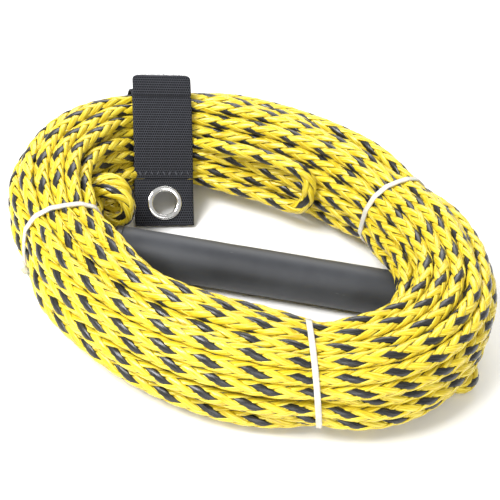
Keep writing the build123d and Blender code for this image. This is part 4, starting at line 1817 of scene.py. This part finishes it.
# ------------------------------------------------------------------ cable ties
@dataclass
class CableTies:
    """Three nylon ties, each a thin band, a square head and the cut tail."""

    winding: Winding
    width: float = 3.4 * MM
    thickness: float = 1.2 * MM
    bite: float = 0.15 * MM
    head: tuple[float, float, float] = (4.0 * MM, 6.5 * MM, 5.6 * MM)
    head_drop: float = 32.0
    tail: float = 7.0 * MM
    head_round: float = 0.8 * MM
    tail_round: float = 0.25 * MM
    path_step: float = 1.3 * MM
    head_sides: dict[str, int] = field(
        default_factory=lambda: {"left": -1, "right": -1, "front": 1}
    )

    def section_corners(self) -> np.ndarray:
        """Rounded corners of the band's section: along the ring, and out of the bundle."""
        w, t = self.width / 2, self.thickness / 2
        return np.array([(-w, -t), (w, -t), (w, 0.3 * t), (w * 0.86, t), (w * 0.3, t * 0.82),
                         (-w * 0.3, t * 0.82), (-w * 0.86, t), (-w, 0.3 * t)])

    def path(self, angle: float) -> np.ndarray:
        """Middle of the band's thickness, drawn tight round the turns."""
        hull, radius = self.winding.hull_at(angle)
        outline = self.winding.bundle.grown(hull, radius + self.thickness / 2 - self.bite)
        return resample(np.concatenate([outline, outline[:1]]), self.path_step)[:-1]

    def band(self, station: Station, line: np.ndarray) -> tuple[np.ndarray, np.ndarray]:
        """Closed band along its path."""
        way = unit(np.roll(line, -1, axis=0) - np.roll(line, 1, axis=0))
        out = np.stack([way[:, 1], -way[:, 0]], axis=1)
        corners = self.section_corners()
        u = line[:, None, 0] + out[:, None, 0] * corners[None, :, 1]
        z = line[:, None, 1] + out[:, None, 1] * corners[None, :, 1]
        side = np.broadcast_to(corners[None, :, 0], u.shape)
        count = len(line)
        quads = joined(ring_quads(count, len(corners)), count, len(corners))
        return station.point(u, z, side).reshape(-1, 3), quads

    def block(
        self, station: Station, centre: np.ndarray, turn: float, size: tuple[float, float, float], edge: float
    ) -> tuple[np.ndarray, np.ndarray]:
        """Rounded block in a section.

        Args:
            station: The section's station.
            centre: The block's middle (u, z).
            turn: Angle of its depth axis in the section, in degrees.
            size: Depth, length and width.
            edge: How far its edges are rounded.

        Returns:
            Points and quads of a closed block.
        """
        c, s = math.cos(math.radians(turn)), math.sin(math.radians(turn))
        work = bmesh.new()
        bmesh.ops.create_cube(work, size=1.0)
        for vertex in work.verts:
            vertex.co = Vector((vertex.co.x * size[0], vertex.co.y * size[1], vertex.co.z * size[2]))
        bmesh.ops.bevel(work, geom=work.edges[:], offset=edge, segments=3, profile=0.6, affect="EDGES")
        local = np.array([v.co for v in work.verts])
        faces = [[v.index for v in f.verts] for f in work.faces]
        work.free()
        quads = np.array([f if len(f) == 4 else [f[0], f[1], f[2], f[2]] for f in faces])
        u = centre[0] + c * local[:, 0] - s * local[:, 1]
        z = centre[1] + s * local[:, 0] + c * local[:, 1]
        return station.point(u, z, local[:, 2]), quads

    def tie(self, name: str) -> bpy.types.Object:
        """One whole tie."""
        angle = self.winding.bundle.tie_angles[name]
        bundle = self.winding.bundle
        station = replace(self.winding.oval.station(angle), lean=bundle.tie_leans[name], middle=bundle.middle)
        line = self.path(angle)
        side = self.head_sides[name]
        turn = -self.head_drop if side > 0 else 180 + self.head_drop
        out = np.array([math.cos(math.radians(turn)), math.sin(math.radians(turn))])
        across = np.array([-out[1], out[0]])
        depth, length, _ = self.head
        tail_length = self.tail + length / 2
        seat = line[int(np.argmax(line @ out))]
        tail_centre = seat + out * depth * 0.6 - across * side * tail_length / 2
        tail_size = (self.thickness, tail_length, self.width)
        parts = [
            self.band(station, line),
            self.block(station, seat + out * depth / 2, turn, self.head, self.head_round),
            self.block(station, tail_centre, turn, tail_size, self.tail_round),
        ]
        base, points, quads = 0, [], []
        for places, faces in parts:
            points.append(places)
            quads.append(faces + base)
            base += len(places)
        faces = np.concatenate(quads)
        four = faces[faces[:, 2] != faces[:, 3]]
        three = [row[:3].tolist() for row in faces[faces[:, 2] == faces[:, 3]]]
        piece = make_piece(f"cable_tie_{name}_moulded", np.concatenate(points), four, three)
        clean_normals(piece)
        return piece

    def build(self, finishes: dict[str, bpy.types.Material]) -> dict[str, bpy.types.Object]:
        """Make the three ties."""
        pieces = {name: self.tie(name) for name in self.winding.bundle.tie_angles}
        for piece in pieces.values():
            piece.data.materials.append(finishes["tie"])
        return pieces

    def dress(self, pieces: dict[str, bpy.types.Object]) -> None:
        """Ride the ties and let them stand for their CAD nodes."""
        for name, piece in pieces.items():
            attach(piece, Body.HANK.value)
            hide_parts(f"cable_tie_{name}")


# ------------------------------------------------------------------ studio
@dataclass(frozen=True)
class Studio:
    """Pale floor, soft lights and the camera."""

    floor_height: float = -14.8 * MM
    floor_half: float = 6.0
    camera_place: tuple[float, float, float] = (-0.0230, -0.5517, 0.45518)
    heading: float = 0.233
    drop: float = 38.54
    roll: float = 9.56
    lens: float = 85.0
    sensor: float = 36.0
    world_strength: float = 0.58

    def floor(self) -> None:
        """Plain pale floor."""
        s, z = self.floor_half, self.floor_height
        points = np.array([(-s, -s, z), (s, -s, z), (s, s, z), (-s, s, z)])
        floor = make_piece("studio_floor", points, np.array([[0, 1, 2, 3]]))
        graph = Shader("studio_floor_white")
        graph.set(Base_Color=(0.93, 0.93, 0.93, 1.0), Roughness=0.9, Specular_IOR_Level=0.1)
        floor.data.materials.append(graph.material)

    def camera(self) -> None:
        """Camera at the viewing angle."""
        heading, drop, roll = (math.radians(a) for a in (self.heading, self.drop, self.roll))
        flat = math.cos(drop)
        ahead = Vector((math.sin(heading) * flat, math.cos(heading) * flat, -math.sin(drop)))
        level = ahead.cross(Vector((0, 0, 1))).normalized()
        top = level.cross(ahead)
        right = math.cos(roll) * level + math.sin(roll) * top
        up = -math.sin(roll) * level + math.cos(roll) * top
        data = bpy.data.cameras.new("camera")
        data.lens = self.lens
        data.sensor_width = self.sensor
        camera = bpy.data.objects.new("camera", data)
        camera.matrix_world = Matrix.Translation(self.camera_place) @ Matrix(
            ((right.x, up.x, -ahead.x), (right.y, up.y, -ahead.y), (right.z, up.z, -ahead.z))
        ).to_4x4()
        bpy.context.scene.collection.objects.link(camera)
        bpy.context.scene.camera = camera

    def light(self, name: str, place: tuple, size: float, power: float) -> None:
        """One soft square light that points at the part's middle.

        Args:
            name: Name of the light.
            place: Where it stands.
            size: Side of its square.
            power: Its power in watts.
        """
        data = bpy.data.lights.new(name, "AREA")
        data.size = size
        data.energy = power
        light = bpy.data.objects.new(name, data)
        light.location = place
        ahead = Vector((0.0, 0.0, 0.0)) - Vector(place)
        light.rotation_euler = ahead.to_track_quat("-Z", "Y").to_euler()
        bpy.context.scene.collection.objects.link(light)

    def build(self) -> None:
        """Set up the whole studio."""
        self.floor()
        self.camera()
        world = bpy.data.worlds.new("studio_white")
        world.use_nodes = True
        background = world.node_tree.nodes["Background"].inputs
        background["Color"].default_value = (1.0, 1.0, 1.0, 1.0)
        background["Strength"].default_value = self.world_strength
        bpy.context.scene.world = world
        bpy.context.scene.view_settings.view_transform = "Standard"
        self.light("key_light", (-0.7, -0.55, 1.1), 0.55, 26.0)
        self.light("back_light", (0.0, 1.1, 0.9), 0.9, 11.0)
        self.light("front_light", (0.15, -1.3, 0.55), 0.8, 9.0)


def main() -> None:
    """Build every sub-assembly in order and report each piece."""
    logging.basicConfig(level=logging.INFO, format="%(message)s", stream=sys.stdout)
    oval, bundle = Oval(), Bundle()
    kit = Finishes()
    finishes = {f.name: getattr(kit, f.name).make() for f in fields(kit)}
    Studio().build()
    line = TowLine(Winding(oval, bundle), Braid())
    rope_pieces, lines = line.build(finishes)
    for name, route in zip(("tow line", "right bridle leg"), lines):
        LOG.info("%s is %.2f m long", name, arc_lengths(route)[-1])
    handle = Handle()
    grip = handle.build(finishes)
    handle.dress(grip, finishes)
    keeper = Keeper(oval, bundle)
    strap_pieces = keeper.build(finishes)
    keeper.dress(strap_pieces)
    ties = CableTies(line.winding)
    tie_pieces = ties.build(finishes)
    ties.dress(tie_pieces)
    line.dress(rope_pieces, lines, [*strap_pieces.values(), *tie_pieces.values()])
    for piece in [*rope_pieces, grip, *strap_pieces.values(), *tie_pieces.values()]:
        LOG.info("%s: %d faces", piece.name, len(piece.data.polygons))


if __name__ == "__main__":
    main()
